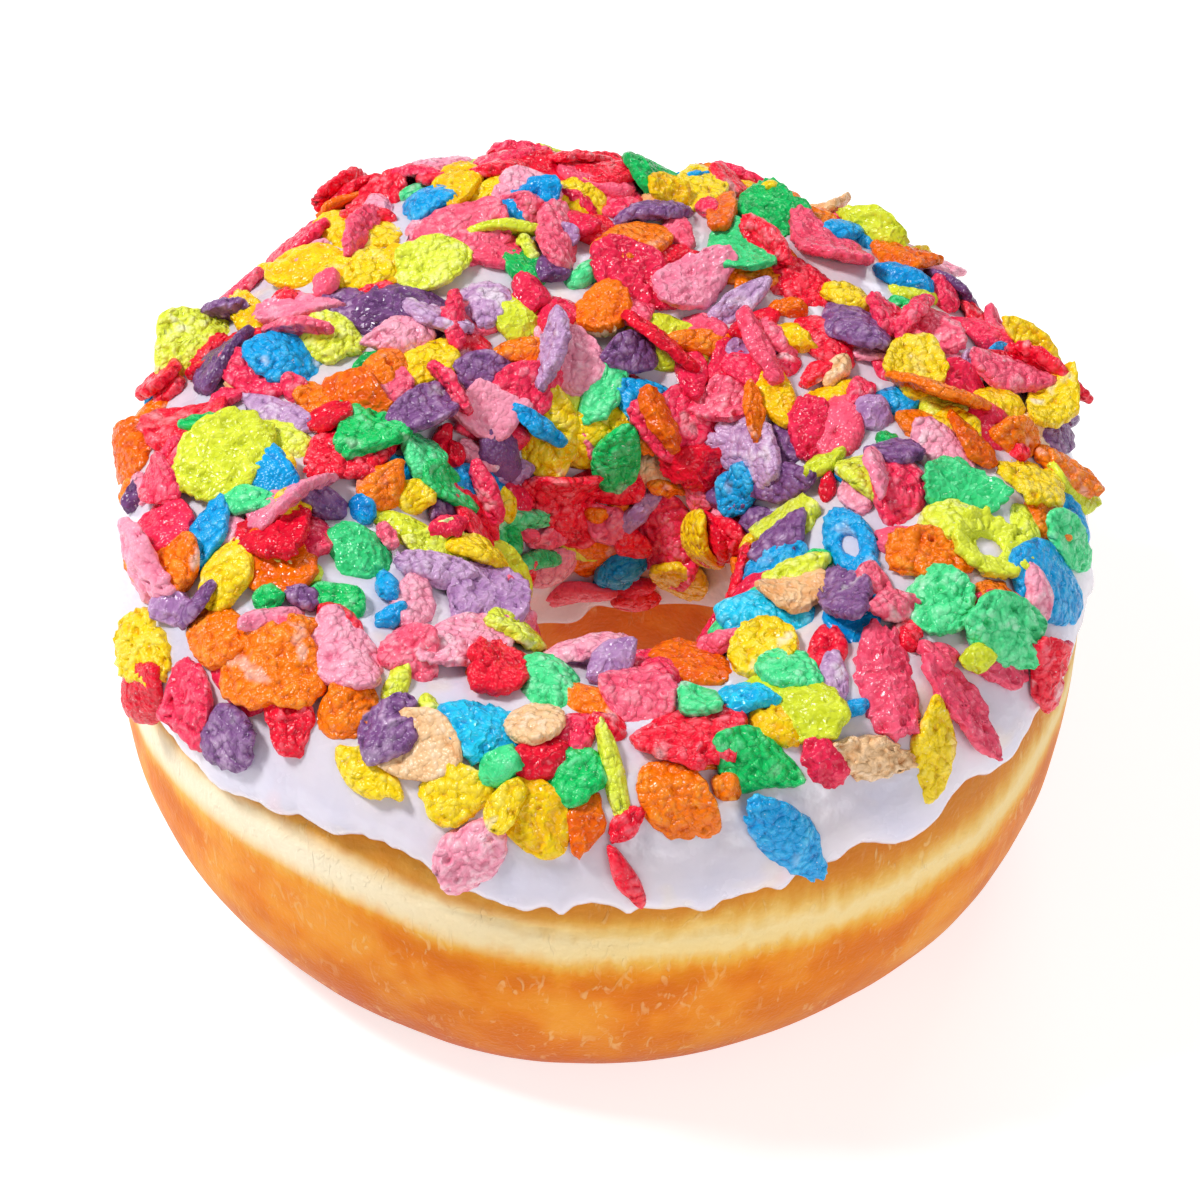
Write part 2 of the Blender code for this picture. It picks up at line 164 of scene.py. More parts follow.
target = Vector((*AXIS_PLACE, WAIST_HEIGHT))
back = Vector((0, -math.cos(CAMERA_ELEVATION), math.sin(CAMERA_ELEVATION)))
camera.matrix_world = (
    Matrix.Translation(target + back * CAMERA_DISTANCE)
    @ (-back).to_track_quat("-Z", "Y").to_matrix().to_4x4()
    @ Matrix.Rotation(CAMERA_ROLL, 4, "Z")
)
print("lens in mm:", round(camera_data.lens, 1))

# %% [markdown]
# ## Light
# The picture is bright and nearly free of shadow. A white room fills in, a small key light
# from the left brings out the relief of the flakes, and two larger soft boxes give the icing
# its broad gleams. Area lights are easiest to aim if we turn them towards the doughnut.

# %% A white room and three soft boxes
ROOM_STRENGTH = 0.24
SOFT_BOXES = {
    "key_softbox": ((-0.38, 0.04, 0.50), 0.12, 3.1),
    "fill_softbox": ((0.30, -0.42, 0.34), 0.26, 0.85),
    "back_softbox": ((0.18, 0.50, 0.45), 0.30, 1.1),
}

world = bpy.data.worlds.new("white room")
bpy.context.scene.world = world
world.use_nodes = True
world.node_tree.nodes["Background"].inputs["Color"].default_value = (1.0, 1.0, 1.0, 1)
world.node_tree.nodes["Background"].inputs["Strength"].default_value = ROOM_STRENGTH
bpy.context.scene.view_settings.view_transform = "Standard"

for name, (place, width, watts) in SOFT_BOXES.items():
    light = bpy.data.lights.new(name, "AREA")
    light.shape, light.size, light.energy = "SQUARE", width, watts
    lamp = bpy.data.objects.new(name, light)
    lamp.location = place
    lamp.rotation_euler = (Vector(place) - target).to_track_quat("Z", "Y").to_euler()
    bpy.context.scene.collection.objects.link(lamp)
print("lights:", list(SOFT_BOXES))

# %% [markdown]
# ## A small language for materials
# A shader is maths, so it should read like maths. We wrap each output socket in a class whose
# operators add Math nodes. Then `1 - mask * 0.5` is a line of Python and three nodes at once.

# %% Sockets that can be added and multiplied


class Socket:
    """An output socket. + - and * with numbers or other sockets add a Math node."""

    def __init__(self, material, output):
        self.material, self.output = material, output

    def math(self, operation, *values, clamp=False):
        settings = {"operation": operation, "use_clamp": clamp}
        return self.material.add("ShaderNodeMath", settings, dict(enumerate(values)))

    def __add__(self, other):
        return self.math("ADD", self, other)

    def __sub__(self, other):
        return self.math("SUBTRACT", self, other)

    def __rsub__(self, other):
        return self.math("SUBTRACT", other, self)

    def __mul__(self, other):
        return self.math("MULTIPLY", self, other)

    __radd__, __rmul__ = __add__, __mul__

    def step(self, low, high):
        """0 below low, 1 above high and a straight ramp between."""
        return self.math("MULTIPLY", self - low, 1 / (high - low), clamp=True)


# %% [markdown]
# The second half of that language is the material itself. One method adds any node: settings
# go in first, since they can change which sockets a node has, and then values or links. On top
# of it come the few patterns that this doughnut needs.

# %% A material that adds any node


class Surface:
    """A node material with one Principled shader, whose plain numbers are set directly."""

    def __init__(self, name, **values):
        self.data = bpy.data.materials.new(name)
        self.data.use_nodes = True
        self.tree = self.data.node_tree
        self.shader = self.tree.nodes["Principled BSDF"]
        self.set(**values)

    def set(self, **values):
        """Gives inputs of the shader, named with _ for a space, plain values or links."""
        for key, value in values.items():
            self.feed(self.shader.inputs[key.replace("_", " ")], value)

    def add(self, kind, settings=None, inputs=None, output=0):
        node = self.tree.nodes.new(kind)
        for key, value in (settings or {}).items():
            if key == "stops":
                self.set_stops(node.color_ramp, value)
            else:
                setattr(node, key, value)
        for key, value in (inputs or {}).items():
            self.feed(node.inputs[key], value)
        return Socket(self, node.outputs[output])

    def feed(self, socket, value):
        if isinstance(value, Socket):
            self.tree.links.new(value.output, socket)
        else:
            socket.default_value = value

    def set_stops(self, ramp, stops):
        while len(ramp.elements) < len(stops):
            ramp.elements.new(0.5)
        for element, (place, colour) in zip(ramp.elements, stops):
            element.position, element.color = place, colour

    def place(self):
        """Object coordinates, in metres."""
        return self.add("ShaderNodeTexCoord", output="Object")

    def noise(self, size, vector=None, detail=3, output="Fac"):
        """Fractal noise with patches of about the given size in metres."""
        inputs = {"Vector": vector or self.place(), "Scale": 1 / size, "Detail": detail}
        return self.add("ShaderNodeTexNoise", None, inputs, output)

    def warped(self, size, reach):
        """Object coordinates, pushed by noise of the given size by up to half the reach."""
        push = self.noise(size, detail=0, output="Color")
        spread = (reach, reach, reach)
        return self.add(
            "ShaderNodeVectorMath", {"operation": "MULTIPLY_ADD"}, {0: push, 1: spread, 2: self.place()}
        )

    def bubbles(self, size, vector):
        """Domes side by side: 1 - d^2 with d the distance to the nearest cell's point."""
        inputs = {"Vector": vector, "Scale": 1 / size}
        distance = self.add("ShaderNodeTexVoronoi", None, inputs)
        return 1 - distance * distance

    def attribute(self, name):
        return self.add("ShaderNodeAttribute", {"attribute_name": name}, output="Fac")

    def mix(self, factor, first, second, blend="MIX"):
        """Blend of two colours. A Mix node keeps its colour sockets at places 6 and 7."""
        settings = {"data_type": "RGBA", "blend_type": blend}
        return self.add("ShaderNodeMix", settings, {0: factor, 6: first, 7: second}, output=2)

    def bump(self, height, depth, strength=1.0):
        """A Bump node that reads height in units of depth metres."""
        inputs = {"Height": height, "Distance": depth, "Strength": strength}
        self.set(Normal=self.add("ShaderNodeBump", None, inputs))


def shade(red, green, blue):
    """A screen colour of 0 to 255 as the linear light and alpha that a shader needs, by the
    sRGB curve."""
    share = np.array([red, green, blue]) / 255
    linear = np.where(share <= 0.04045, share / 12.92, ((share + 0.055) / 1.055) ** 2.4)
    return (*(float(v) for v in linear), 1.0)


print("mid grey as light:", round(shade(128, 128, 128)[0], 3))

# %% [markdown]
# ## Noise for shapes
# Nodes can't dent a mesh that has to be exported, so the relief is worked out here. Value
# noise puts random numbers on the corners of a lattice and blends them. Cell noise scatters a
# point in each cube and measures how far the nearest one is, which gives blisters and pits.

# %% Two kinds of noise in three dimensions
LATTICE = 32


def noise(points, size, seed):
    """Random corner values of a cubic lattice, blended by smoothstep weights, from -1 to 1."""
    table = np.random.default_rng(seed).uniform(-1, 1, (LATTICE,) * 3)
    scaled = points / size
    low = np.floor(scaled).astype(int)
    part = scaled - low
    part = part * part * (3 - 2 * part)
    total = np.zeros(points.shape[:-1])
    for corner in np.ndindex(2, 2, 2):
        weight = np.prod(np.where(corner, part, 1 - part), axis=-1)
        total += weight * table[tuple(np.moveaxis((low + corner) % LATTICE, -1, 0))]
    return total


def cells(points, size, seed):
    """Distance to the nearest of one random point in each lattice cube, in cube sides, and
    that point's own random number: the smallest of the distances over 27 cubes."""
    rng = np.random.default_rng(seed)
    jitter, numbers = rng.random((LATTICE,) * 3 + (3,)), rng.random((LATTICE,) * 3)
    scaled = points / size
    low = np.floor(scaled).astype(int)
    nearest, number = np.full(points.shape[:-1], 9.0), np.zeros(points.shape[:-1])
    for step in np.ndindex(3, 3, 3):
        cube = low + step - np.array(1)
        index = tuple(np.moveaxis(cube % LATTICE, -1, 0))
        distance = np.linalg.norm(cube + jitter[index] - scaled, axis=-1)
        closer = distance < nearest
        nearest = np.where(closer, distance, nearest)
        number = np.where(closer, numbers[index], number)
    return nearest, number


sample = np.random.default_rng(1).random((1000, 3))
print("noise spread:", noise(sample, 0.1, 1).std().round(2), cells(sample, 0.1, 1)[0].mean().round(2))

# %% [markdown]
# ## From arrays to meshes
# A surface on a grid needs faces between its rows and columns. Blender takes whole arrays
# through `foreach_set`, which is far quicker than a list of tuples. Floats that a material
# should read travel along as attributes.

# %% Helpers that turn arrays into mesh objects


def ring_faces(rows, columns, closed_rows):
    """Quads of a grid that closes round its columns, and round its rows too if asked."""
    row, column = np.meshgrid(np.arange(rows if closed_rows else rows - 1), np.arange(columns))
    row, column = row.ravel(), column.ravel()
    below, beside = (row + 1) % rows, (column + 1) % columns
    corners = [row * columns + column, row * columns + beside]
    return np.stack(corners + [below * columns + beside, below * columns + column], -1)


def mesh_object(name, points, faces, attributes=None):
    """A smooth mesh from an array of points and arrays of faces with equal numbers of corners."""
    mesh = bpy.data.meshes.new(name)
    mesh.vertices.add(len(points))
    mesh.vertices.foreach_set("co", points.astype(np.float32).ravel())
    mesh.loops.add(sum(block.size for block in faces))
    mesh.loops.foreach_set("vertex_index", np.concatenate([block.ravel() for block in faces]))
    sizes = np.concatenate([np.full(len(block), block.shape[1]) for block in faces])
    mesh.polygons.add(len(sizes))
    mesh.polygons.foreach_set("loop_start", np.concatenate([[0], np.cumsum(sizes)[:-1]]))
    mesh.update(calc_edges=True)
    for key, values in (attributes or {}).items():
        layer = mesh.attributes.new(key, "FLOAT", "POINT")
        layer.data.foreach_set("value", values.astype(np.float32).ravel())
    mesh.shade_smooth()
    piece = bpy.data.objects.new(name, mesh)
    bpy.context.scene.collection.objects.link(piece)
    return piece


def grid_normals(points):
    """Unit normals of a grid that closes both ways: the cross product of its two slopes."""
    along = np.roll(points, -1, 1) - np.roll(points, 1, 1)
    over = np.roll(points, -1, 0) - np.roll(points, 1, 0)
    normals = np.cross(along, over)
    return normals / np.maximum(np.linalg.norm(normals, axis=-1, keepdims=True), 1e-12)


print("faces of a 3 by 4 tube:", len(ring_faces(3, 4, False)))

# %% [markdown]
# ## Where the icing ends
# The icing was dipped, so its edge is scalloped outside and runs down the far wall of the hole.
# Its outer face is measured by a share: 0 at the outer edge and 1 at the edge in the hole. The
# section is an even layer whose two edges are rounded off.

# %% Edges and thickness of the icing
FIT_GAP = 0.35 * MM
ICING_THICKNESS, EDGE_SHARPNESS, EDGE_ROUNDING = 1.9 * MM, 14, 0.96
ICING_EDGE_ABOVE_WAIST = 5.6 * MM
HOLE_EDGE_ABOVE_WAIST, HOLE_EDGE_DROP_AT_BACK = 0.5 * MM, 7.0 * MM


def angle_at(height, turn):
    """Angle round the section at which it reaches a height: the superellipse, inverted."""
    upper = np.clip(height / crest_height(turn), 0, 1) ** (UPPER_ROUNDNESS / 2)
    lower = np.clip(-height / BELLY_BELOW_WAIST, 0, 1) ** (LOWER_ROUNDNESS / 2)
    return np.arcsin(upper) - np.arcsin(lower)


def icing_limits(turn, ragged=0.0):
    """Section angles of the two edges: a mean height plus waves, and a ragged part outside."""
    scallops = (
        0.9 * np.cos(3 * turn + 0.5) + 0.7 * np.cos(7 * turn + 1.9) + 0.5 * np.cos(12 * turn)
    )
    outer = angle_at(ICING_EDGE_ABOVE_WAIST + scallops * MM + ragged, turn)
    far_side = (hole_radius(turn) * np.sin(turn) - HOLE_CENTRE[1]) / HOLE_RADIUS
    in_hole = HOLE_EDGE_ABOVE_WAIST - HOLE_EDGE_DROP_AT_BACK * far_side
    inner = math.pi - angle_at(in_hole + 0.4 * MM * np.cos(4 * turn), turn)
    return outer, inner


def icing_surface(turn, share, lift, ragged=0.0):
    """The ring's surface at a share of the way between the two edges."""
    outer, inner = icing_limits(turn, ragged)
    return ring_surface(turn, outer + (inner - outer) * share, lift)


def icing_thickness(share):
    """Thickness times the square root of 1 - |2 share - 1|^n, which rounds both edges."""
    return ICING_THICKNESS * np.sqrt(1 - np.abs(2 * share - 1) ** EDGE_SHARPNESS * EDGE_ROUNDING)


print("icing edge in mm:", (icing_surface(np.array([-1.57]), 0.0, 0.0) / MM).round(1))

# %% [markdown]
# ## The dough
# Fried dough has a smooth skin with soft lumps, faint wrinkles where the two fried halves meet
# at the waist, and a flat base. The skin could be sculpted, but a formula keeps it off the
# icing: the lumps are noise, and each wrinkle is a narrow groove that follows the ring.

# %% Dough surface
DOUGH_TURNS, DOUGH_ROWS = 520, 170
WRINKLES = (
    # height over the band in mm, middle azimuth in degrees, half length in degrees, depth in mm
    (1.1, 262, 22, 0.30), (1.7, 285, 30, 0.26), (0.5, 300, 12, 0.14), (1.4, 235, 14, 0.16),
    (0.9, 205, 16, 0.12), (1.5, 330, 18, 0.14), (1.2, 20, 30, 0.15), (0.8, 90, 40, 0.15),
    (1.3, 150, 30, 0.15),
)
WRINKLE_WIDTH = 0.28 * MM
# The pale band's height over the waist in mm, and where it rises at the left front and dips at
# the right front: azimuth and half width in degrees, and height in mm
BAND_LIFT, BAND_WAVES = 0.4, ((240, 23, 3.2), (312, 22, -3.4))


def band_height(turn):
    """Height of the pale band's middle: the waist, plus a Gaussian for each place where the
    dough tipped as it fried."""
    lift = BAND_LIFT
    for middle, half_width, height in BAND_WAVES:
        away = (turn % math.tau - math.radians(middle)) / math.radians(half_width)
        lift = lift + height * np.exp(-(away**2))
    return waist_height(turn) + lift * MM


turn = np.linspace(0, math.tau, DOUGH_TURNS, endpoint=False)[None, :]
around = np.linspace(0, math.tau, DOUGH_ROWS, endpoint=False)[:, None]
dough_points = ring_surface(turn, around)
over_band = dough_points[..., 2] - band_height(turn)
icing_edge = icing_surface(turn, 0.0, 0.0)
under_icing = icing_edge[..., 2] - dough_points[..., 2]


def wrinkle_depth(height, middle, half_length, depth):
    """A Gaussian groove across its height, faded out along the ring, on a wavy line."""
    away = np.abs((turn - math.radians(middle) + math.pi) % math.tau - math.pi)
    fade = np.clip(1 - away / math.radians(half_length), 0, 1) ** 0.7
    line = height + 0.35 * np.sin(9 * turn + middle) + 0.2 * np.sin(23 * turn + 2 * middle)
    return depth * MM * fade * np.exp(-(((over_band - line * MM) / WRINKLE_WIDTH) ** 2))


relief = 0.22 * MM * noise(dough_points, 9 * MM, 3) + 0.06 * MM * noise(dough_points, 3 * MM, 4)
relief -= sum(wrinkle_depth(*wrinkle) for wrinkle in WRINKLES)
relief *= np.clip(dough_points[..., 2] / (2 * MM), 0, 1)
dough_points = dough_points + grid_normals(dough_points) * relief[..., None]
print("relief in mm:", (relief.min() / MM).round(2), (relief.max() / MM).round(2))

# %% Dough mesh
dough = mesh_object(
    "dough_skin",
    dough_points.reshape(-1, 3),
    [ring_faces(DOUGH_ROWS, DOUGH_TURNS, True)],
    {"over_band": over_band / MM, "under_icing": under_icing / MM},
)
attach(dough, "root")
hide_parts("dough")
print("dough quads:", len(dough.data.polygons))

# %% [markdown]
# ## Baked colour
# Each half fried face down in turn, so the waist that never lay in the oil stayed pale, and the
# colour deepens away from it. A ramp over the height above the band gives the colours, and
# noise shifts that height so the borders wander. Clouds and pale fibres break it up, the band
# is painted creamier at the left as painted light from the key lamp, and the icing's edge seeps
# a darker line into the crust.

# %% Dough material
baked = Surface("baked dough", Specular_IOR_Level=0.10)
BAND_LOW, BAND_HIGH, SEEP_DEPTH = -22.0, 8.0, 1.6
BAKED_STOPS = (
    (-22.0, shade(180, 74, 6)), (-18.5, shade(200, 92, 6)), (-14.0, shade(224, 122, 6)),
    (-9.0, shade(236, 132, 2)), (-5.5, shade(232, 124, 0)), (-3.8, shade(238, 144, 12)),
    (-2.4, shade(244, 186, 78)), (-1.2, shade(248, 216, 144)), (0.2, shade(248, 220, 156)),
    (1.6, shade(240, 198, 112)), (2.8, shade(230, 171, 72)), (4.2, shade(220, 142, 42)),
    (7.5, shade(204, 114, 30)),
)
DEEP_CRUST, PALE_CRUST = shade(208, 96, 0), shade(250, 176, 62)
upright = baked.add("ShaderNodeVectorMath", {"operation": "MULTIPLY"}, {0: baked.place(), 1: (1, 1, 0.4)})
streaks = baked.noise(1.5 * MM, upright, detail=3)
height, under_edge = baked.attribute("over_band"), baked.attribute("under_icing")
wander = (baked.noise(12 * MM, detail=1) - 0.5) * 3.0 + (streaks - 0.5) * 3.0
level = (height + wander).step(BAND_LOW, BAND_HIGH)
stops = [((at - BAND_LOW) / (BAND_HIGH - BAND_LOW), colour) for at, colour in BAKED_STOPS]
bands = baked.add("ShaderNodeValToRGB", {"stops": stops}, {0: level})
below = height.step(-2.0, -5.0)
clouds = baked.noise(7 * MM, detail=2)
crust = baked.mix(clouds.step(0.52, 0.36) * below * 0.45, bands, DEEP_CRUST)
above_base = height.step(-20.0, -12.0)
crust = baked.mix(clouds.step(0.48, 0.66) * below * above_base * 0.50, crust, PALE_CRUST)
swirl = {"Vector": upright, "Scale": 1 / (1.1 * MM), "Detail": 2, "Distortion": 1.6}
fibres = baked.add("ShaderNodeTexNoise", None, swirl).step(0.57, 0.68)
fibres = fibres * baked.noise(4.5 * MM, detail=1).step(0.40, 0.62)
crust = baked.mix(0.32 * fibres, crust, shade(255, 222, 156))
# Painted light: near the waist the band is made creamier on the left side, where the key light falls.
to_the_left = baked.add("ShaderNodeSeparateXYZ", None, {0: baked.place()}).step(0.005, -0.024)
painted_band_light = (height * height).step(9.0, 0.5) * to_the_left
crust = baked.mix(0.65 * painted_band_light, crust, shade(254, 246, 228))
seep = under_edge + (baked.noise(2.4 * MM) - 0.5) * 2.2
seep = seep.step(SEEP_DEPTH, 0.2) * under_edge.step(-1.5, 0.0)
crust = baked.mix(0.7 * seep, crust, shade(208, 132, 44))
baked.set(Base_Color=crust, Roughness=0.32 + 0.24 * streaks - 0.2 * seep)
baked.bump(baked.noise(0.5 * MM, detail=2) * 0.6 + streaks * 0.6 + 0.3 * fibres, 0.20 * MM)
dough.data.materials.append(baked.data)
print("dough nodes:", len(baked.tree.nodes))

# %% [markdown]
# ## Where the flakes lie
# Someone shook these flakes on by hand. The ones that stand out are listed one by one, and an
# even scatter with seeded sizes fills the rest. The list runs from the far side to the near side.

# %% Flakes that stand out
# Azimuth in degrees, share across the icing, length and width in mm, and the turn of the length
# in degrees, from along the ring to towards the hole
LANDMARKS = (
    (88, 0.20, 10.5, 5.5, 8), (79, 0.21, 8.0, 7.0, 85), (84, 0.28, 8.0, 7.5, 95), (68, 0.22, 9.0, 3.5, 105),
    (70, 0.37, 8.0, 3.0, 100), (52, 0.33, 11.0, 8.0, 160), (68, 0.48, 9.5, 5.5, 70),
    (54, 0.48, 8.0, 3.0, 75), (39, 0.39, 6.0, 4.0, 45), (45, 0.24, 8.0, 7.0, 125),
    (30, 0.30, 11.0, 6.0, 0), (52, 0.56, 8.0, 2.5, 30), (78, 0.61, 6.0, 4.0, 5),
    (132, 0.29, 11.0, 5.5, 100), (122, 0.32, 6.5, 5.5, 125), (130, 0.43, 7.5, 6.0, 170),
    (127, 0.49, 6.5, 5.5, 70), (153, 0.47, 7.0, 4.5, 160), (159, 0.43, 6.5, 5.5, 125),
    (153, 0.25, 11.0, 3.0, 60), (102, 0.57, 8.0, 2.0, 165), (127, 0.59, 6.0, 3.5, 150),
    (178, 0.27, 9.5, 6.5, 75), (180, 0.40, 8.0, 3.5, 55), (178, 0.56, 8.0, 4.5, 140),
    (30, 0.61, 6.5, 5.0, 50), (21, 0.56, 8.0, 4.0, 135), (4, 0.52, 8.5, 4.5, 160),
    (354, 0.45, 5.5, 5.0, 75), (356, 0.24, 8.0, 6.5, 170), (348, 0.38, 8.0, 7.5, 90),
    (339, 0.71, 7.5, 4.5, 70), (351, 0.67, 8.5, 4.0, 45), (15, 0.74, 7.0, 4.5, 10),
    (195, 0.69, 7.5, 4.5, 140), (154, 0.79, 9.0, 5.5, 0), (14, 0.92, 10.0, 7.0, 90),
    (37, 0.85, 7.5, 2.0, 55), (196, 0.22, 8.0, 6.5, 40), (217, 0.48, 7.5, 6.0, 35),
    (213, 0.56, 7.5, 4.0, 60), (194, 0.81, 11.0, 2.0, 155), (45, 0.94, 5.5, 3.5, 25),
    (330, 0.55, 10.0, 4.5, 25), (339, 0.32, 8.0, 7.5, 35), (340, 0.17, 10.0, 8.0, 115),
    (326, 0.39, 7.0, 7.0, 105), (208, 0.10, 9.0, 6.0, 5), (216, 0.24, 8.0, 5.5, 15),
    (210, 0.30, 8.0, 5.0, 135), (220, 0.33, 6.5, 3.0, 95), (240, 0.44, 6.5, 5.5, 0),
    (232, 0.52, 7.5, 4.5, 140), (224, 0.62, 7.0, 6.0, 70), (226, 0.69, 6.0, 4.5, 80),
    (228, 0.59, 7.5, 3.5, 70), (217, 0.87, 9.5, 3.5, 155), (210, 0.83, 7.5, 2.5, 150),
    (188, 0.93, 6.5, 5.0, 20), (199, 0.88, 8.5, 2.0, 155), (186, 0.86, 4.5, 2.5, 175),
    (45, 0.95, 5.5, 4.0, 55), (152, 0.96, 7.5, 3.5, 80), (32, 0.97, 4.5, 3.0, 10),
    (30, 0.98, 5.0, 3.0, 145), (6, 0.97, 6.5, 5.5, 45), (273, 0.74, 6.0, 3.5, 70),
    (254, 0.78, 9.0, 5.0, 95), (216, 0.94, 7.0, 2.5, 155), (315, 0.66, 6.5, 6.0, 140),
    (334, 0.92, 9.0, 6.0, 55), (302, 0.62, 6.5, 6.0, 30), (290, 0.76, 9.0, 6.0, 100),
    (332, 0.07, 9.0, 6.5, 95), (312, 0.39, 11.0, 5.5, 55), (312, 0.19, 9.5, 4.5, 65),
    (318, 0.22, 11.0, 4.5, 85), (304, 0.25, 8.0, 4.0, 155), (298, 0.46, 10.5, 6.0, 115),
    (291, 0.38, 8.5, 6.0, 135), (292, 0.14, 11.0, 4.5, 110), (286, 0.57, 4.5, 4.5, 105),
    (212, 0.04, 8.0, 6.0, 75), (219, 0.12, 8.0, 7.0, 145), (226, 0.12, 7.0, 6.0, 40),
    (232, 0.20, 6.5, 4.5, 125), (244, 0.19, 7.5, 4.0, 0), (238, 0.28, 6.0, 5.5, 70),
    (244, 0.30, 7.0, 5.5, 110), (255, 0.28, 6.5, 5.5, 35), (258, 0.15, 7.5, 5.5, 60),
    (264, 0.29, 8.5, 5.5, 130), (270, 0.28, 6.0, 3.5, 80), (280, 0.33, 8.5, 6.0, 125),
    (256, 0.46, 9.0, 7.5, 35), (268, 0.40, 5.5, 5.0, 95), (262, 0.62, 8.0, 7.0, 130),
    (278, 0.63, 8.0, 6.5, 105), (267, 0.51, 6.0, 4.5, 60), (273, 0.43, 10.5, 2.0, 110),
    (274, 0.14, 6.5, 2.0, 120),
)
LANDMARK_KINDS = (
    "crimson azure emerald golden orange rose blush lilac golden orange rose orange violet golden azure "
    "lemon lilac blush lemon golden peach orange crimson lilac violet rose golden rose violet "
    "golden mint lemon violet crimson azure crimson cherry lilac cherry mint lemon mint azure "
    "azure lemon azure mint golden orange golden blush rose blush lemon golden lilac orange "
    "crimson blush mint rose azure rose cherry crimson golden lilac lemon azure peach orange "
    "golden orange crimson rose golden rose peach lemon emerald azure mint crimson cherry violet "
    "crimson golden orange violet golden blush golden orange orange sky emerald mint rose cherry "
    "lemon crimson"
).split()
print("flakes that stand out:", len(LANDMARKS), len(LANDMARK_KINDS))

# %% [markdown]
# ## The scatter between them
# Random places clump, so we step round the ring by an irrational share of a turn each time and
# across it by another. That spreads the flakes evenly however many there are. A few are
# dropped by chance where the ring is narrow, and none goes under the middle of a flake that
# stands out. At the very front the icing stays bare for longer.

# %% Loose flakes
FLAKE_SEED, LOOSE_FLAKES, SPREAD_TRIES = 27, 290, 6
FLAKE_LENGTH, FLAKE_SLIMNESS = (5.0 * MM, 10.5 * MM), (0.52, 0.86)
FLAKE_THICKNESS = 1.5 * MM
LOWEST_SHARE, BARE_FRONT_SHARE, HIGHEST_SHARE = 0.13, 0.12, 0.93
LANDMARK_ROOM = 0.5
SPREAD_STEPS = (0.7548776662, 0.5698402910)


def spread(number, lowest, highest=HIGHEST_SHARE, bare_front=BARE_FRONT_SHARE):
    """Azimuth and share of place number n: n times two irrational steps, less whole turns."""
    turn = (number * SPREAD_STEPS[0] % 1) * math.tau
    lowest = lowest + bare_front * np.maximum(-np.sin(turn), 0) ** 2
    return turn, lowest + (highest - lowest) * (number * SPREAD_STEPS[1] % 1)


def scattered(rng, landmarks):
    """Rows of azimuth, share, length, width and turn. Lengths are a power of a uniform draw."""
    number = np.arange(SPREAD_TRIES * LOOSE_FLAKES)
    turn, share = spread(number, LOWEST_SHARE)
    places = icing_surface(turn, share, 0.0)
    outward = np.hypot(places[:, 0] - AXIS_PLACE[0], places[:, 1] - AXIS_PLACE[1])
    kept = rng.random(number.size) < outward / (RIM_RADIUS * BACK_STRETCH)
    taken = icing_surface(landmarks[:, 0], landmarks[:, 1], 0.0)
    apart = np.linalg.norm(places[:, None] - taken[None], axis=-1)
    kept &= (apart > LANDMARK_ROOM * landmarks[:, 2]).all(axis=1)
    turn, share = turn[kept][:LOOSE_FLAKES], share[kept][:LOOSE_FLAKES]
    draw = rng.random((LOOSE_FLAKES, 3))
    length = FLAKE_LENGTH[0] + (FLAKE_LENGTH[1] - FLAKE_LENGTH[0]) * draw[:, 0] ** 1.4
    width = length * (FLAKE_SLIMNESS[0] + (FLAKE_SLIMNESS[1] - FLAKE_SLIMNESS[0]) * draw[:, 1])
    rows = np.stack([turn, share, length, width, math.tau * draw[:, 2]], -1)
    return rows[np.argsort(length)]


# %% [markdown]
# ## Laying the heap
# Flakes that only follow the icing would all pass through each other. So they are laid one
# after another on a height map of the heap: each takes the plane that best fits what is under
# it, with a small lean of its own, and then raises the map. A rigid-body simulation would do
# it too, but far slower, and this gives the same heap each time.

# %% Height map and laying rule
HEAP_TURNS, HEAP_ROWS, HEAP_MARGIN, HIGHEST_HEAP = 240, 90, 0.02, 2.2 * MM
LARGEST_LEAN, SEAT = 0.45, 0.6
OWN_LEAN, STANDING_SHARE, TIPPED = 0.13, 0.08, math.radians(38)
FARTHEST_RISE, SAME_SIDE, CENTRE_RISE, TOP_RISE = 0.6, 0.2, 0.35, 0.6


def heap_grid():
    """Points, outward normals and cell areas of the icing's outer face, on an even grid."""
    turn = np.linspace(0, math.tau, HEAP_TURNS, endpoint=False)[:, None]
    share = np.linspace(HEAP_MARGIN, 1 - HEAP_MARGIN, HEAP_ROWS)[None, :]
    lift = FIT_GAP + icing_thickness(share)
    places = icing_surface(turn + 0 * share, share + 0 * turn, lift)
    along = np.roll(places, -1, 0) - np.roll(places, 1, 0)
    inward = np.gradient(places, axis=1)
    normals = np.cross(along, inward)
    areas = np.linalg.norm(normals, axis=-1)
    return share[0], places, normals / areas[..., None], areas


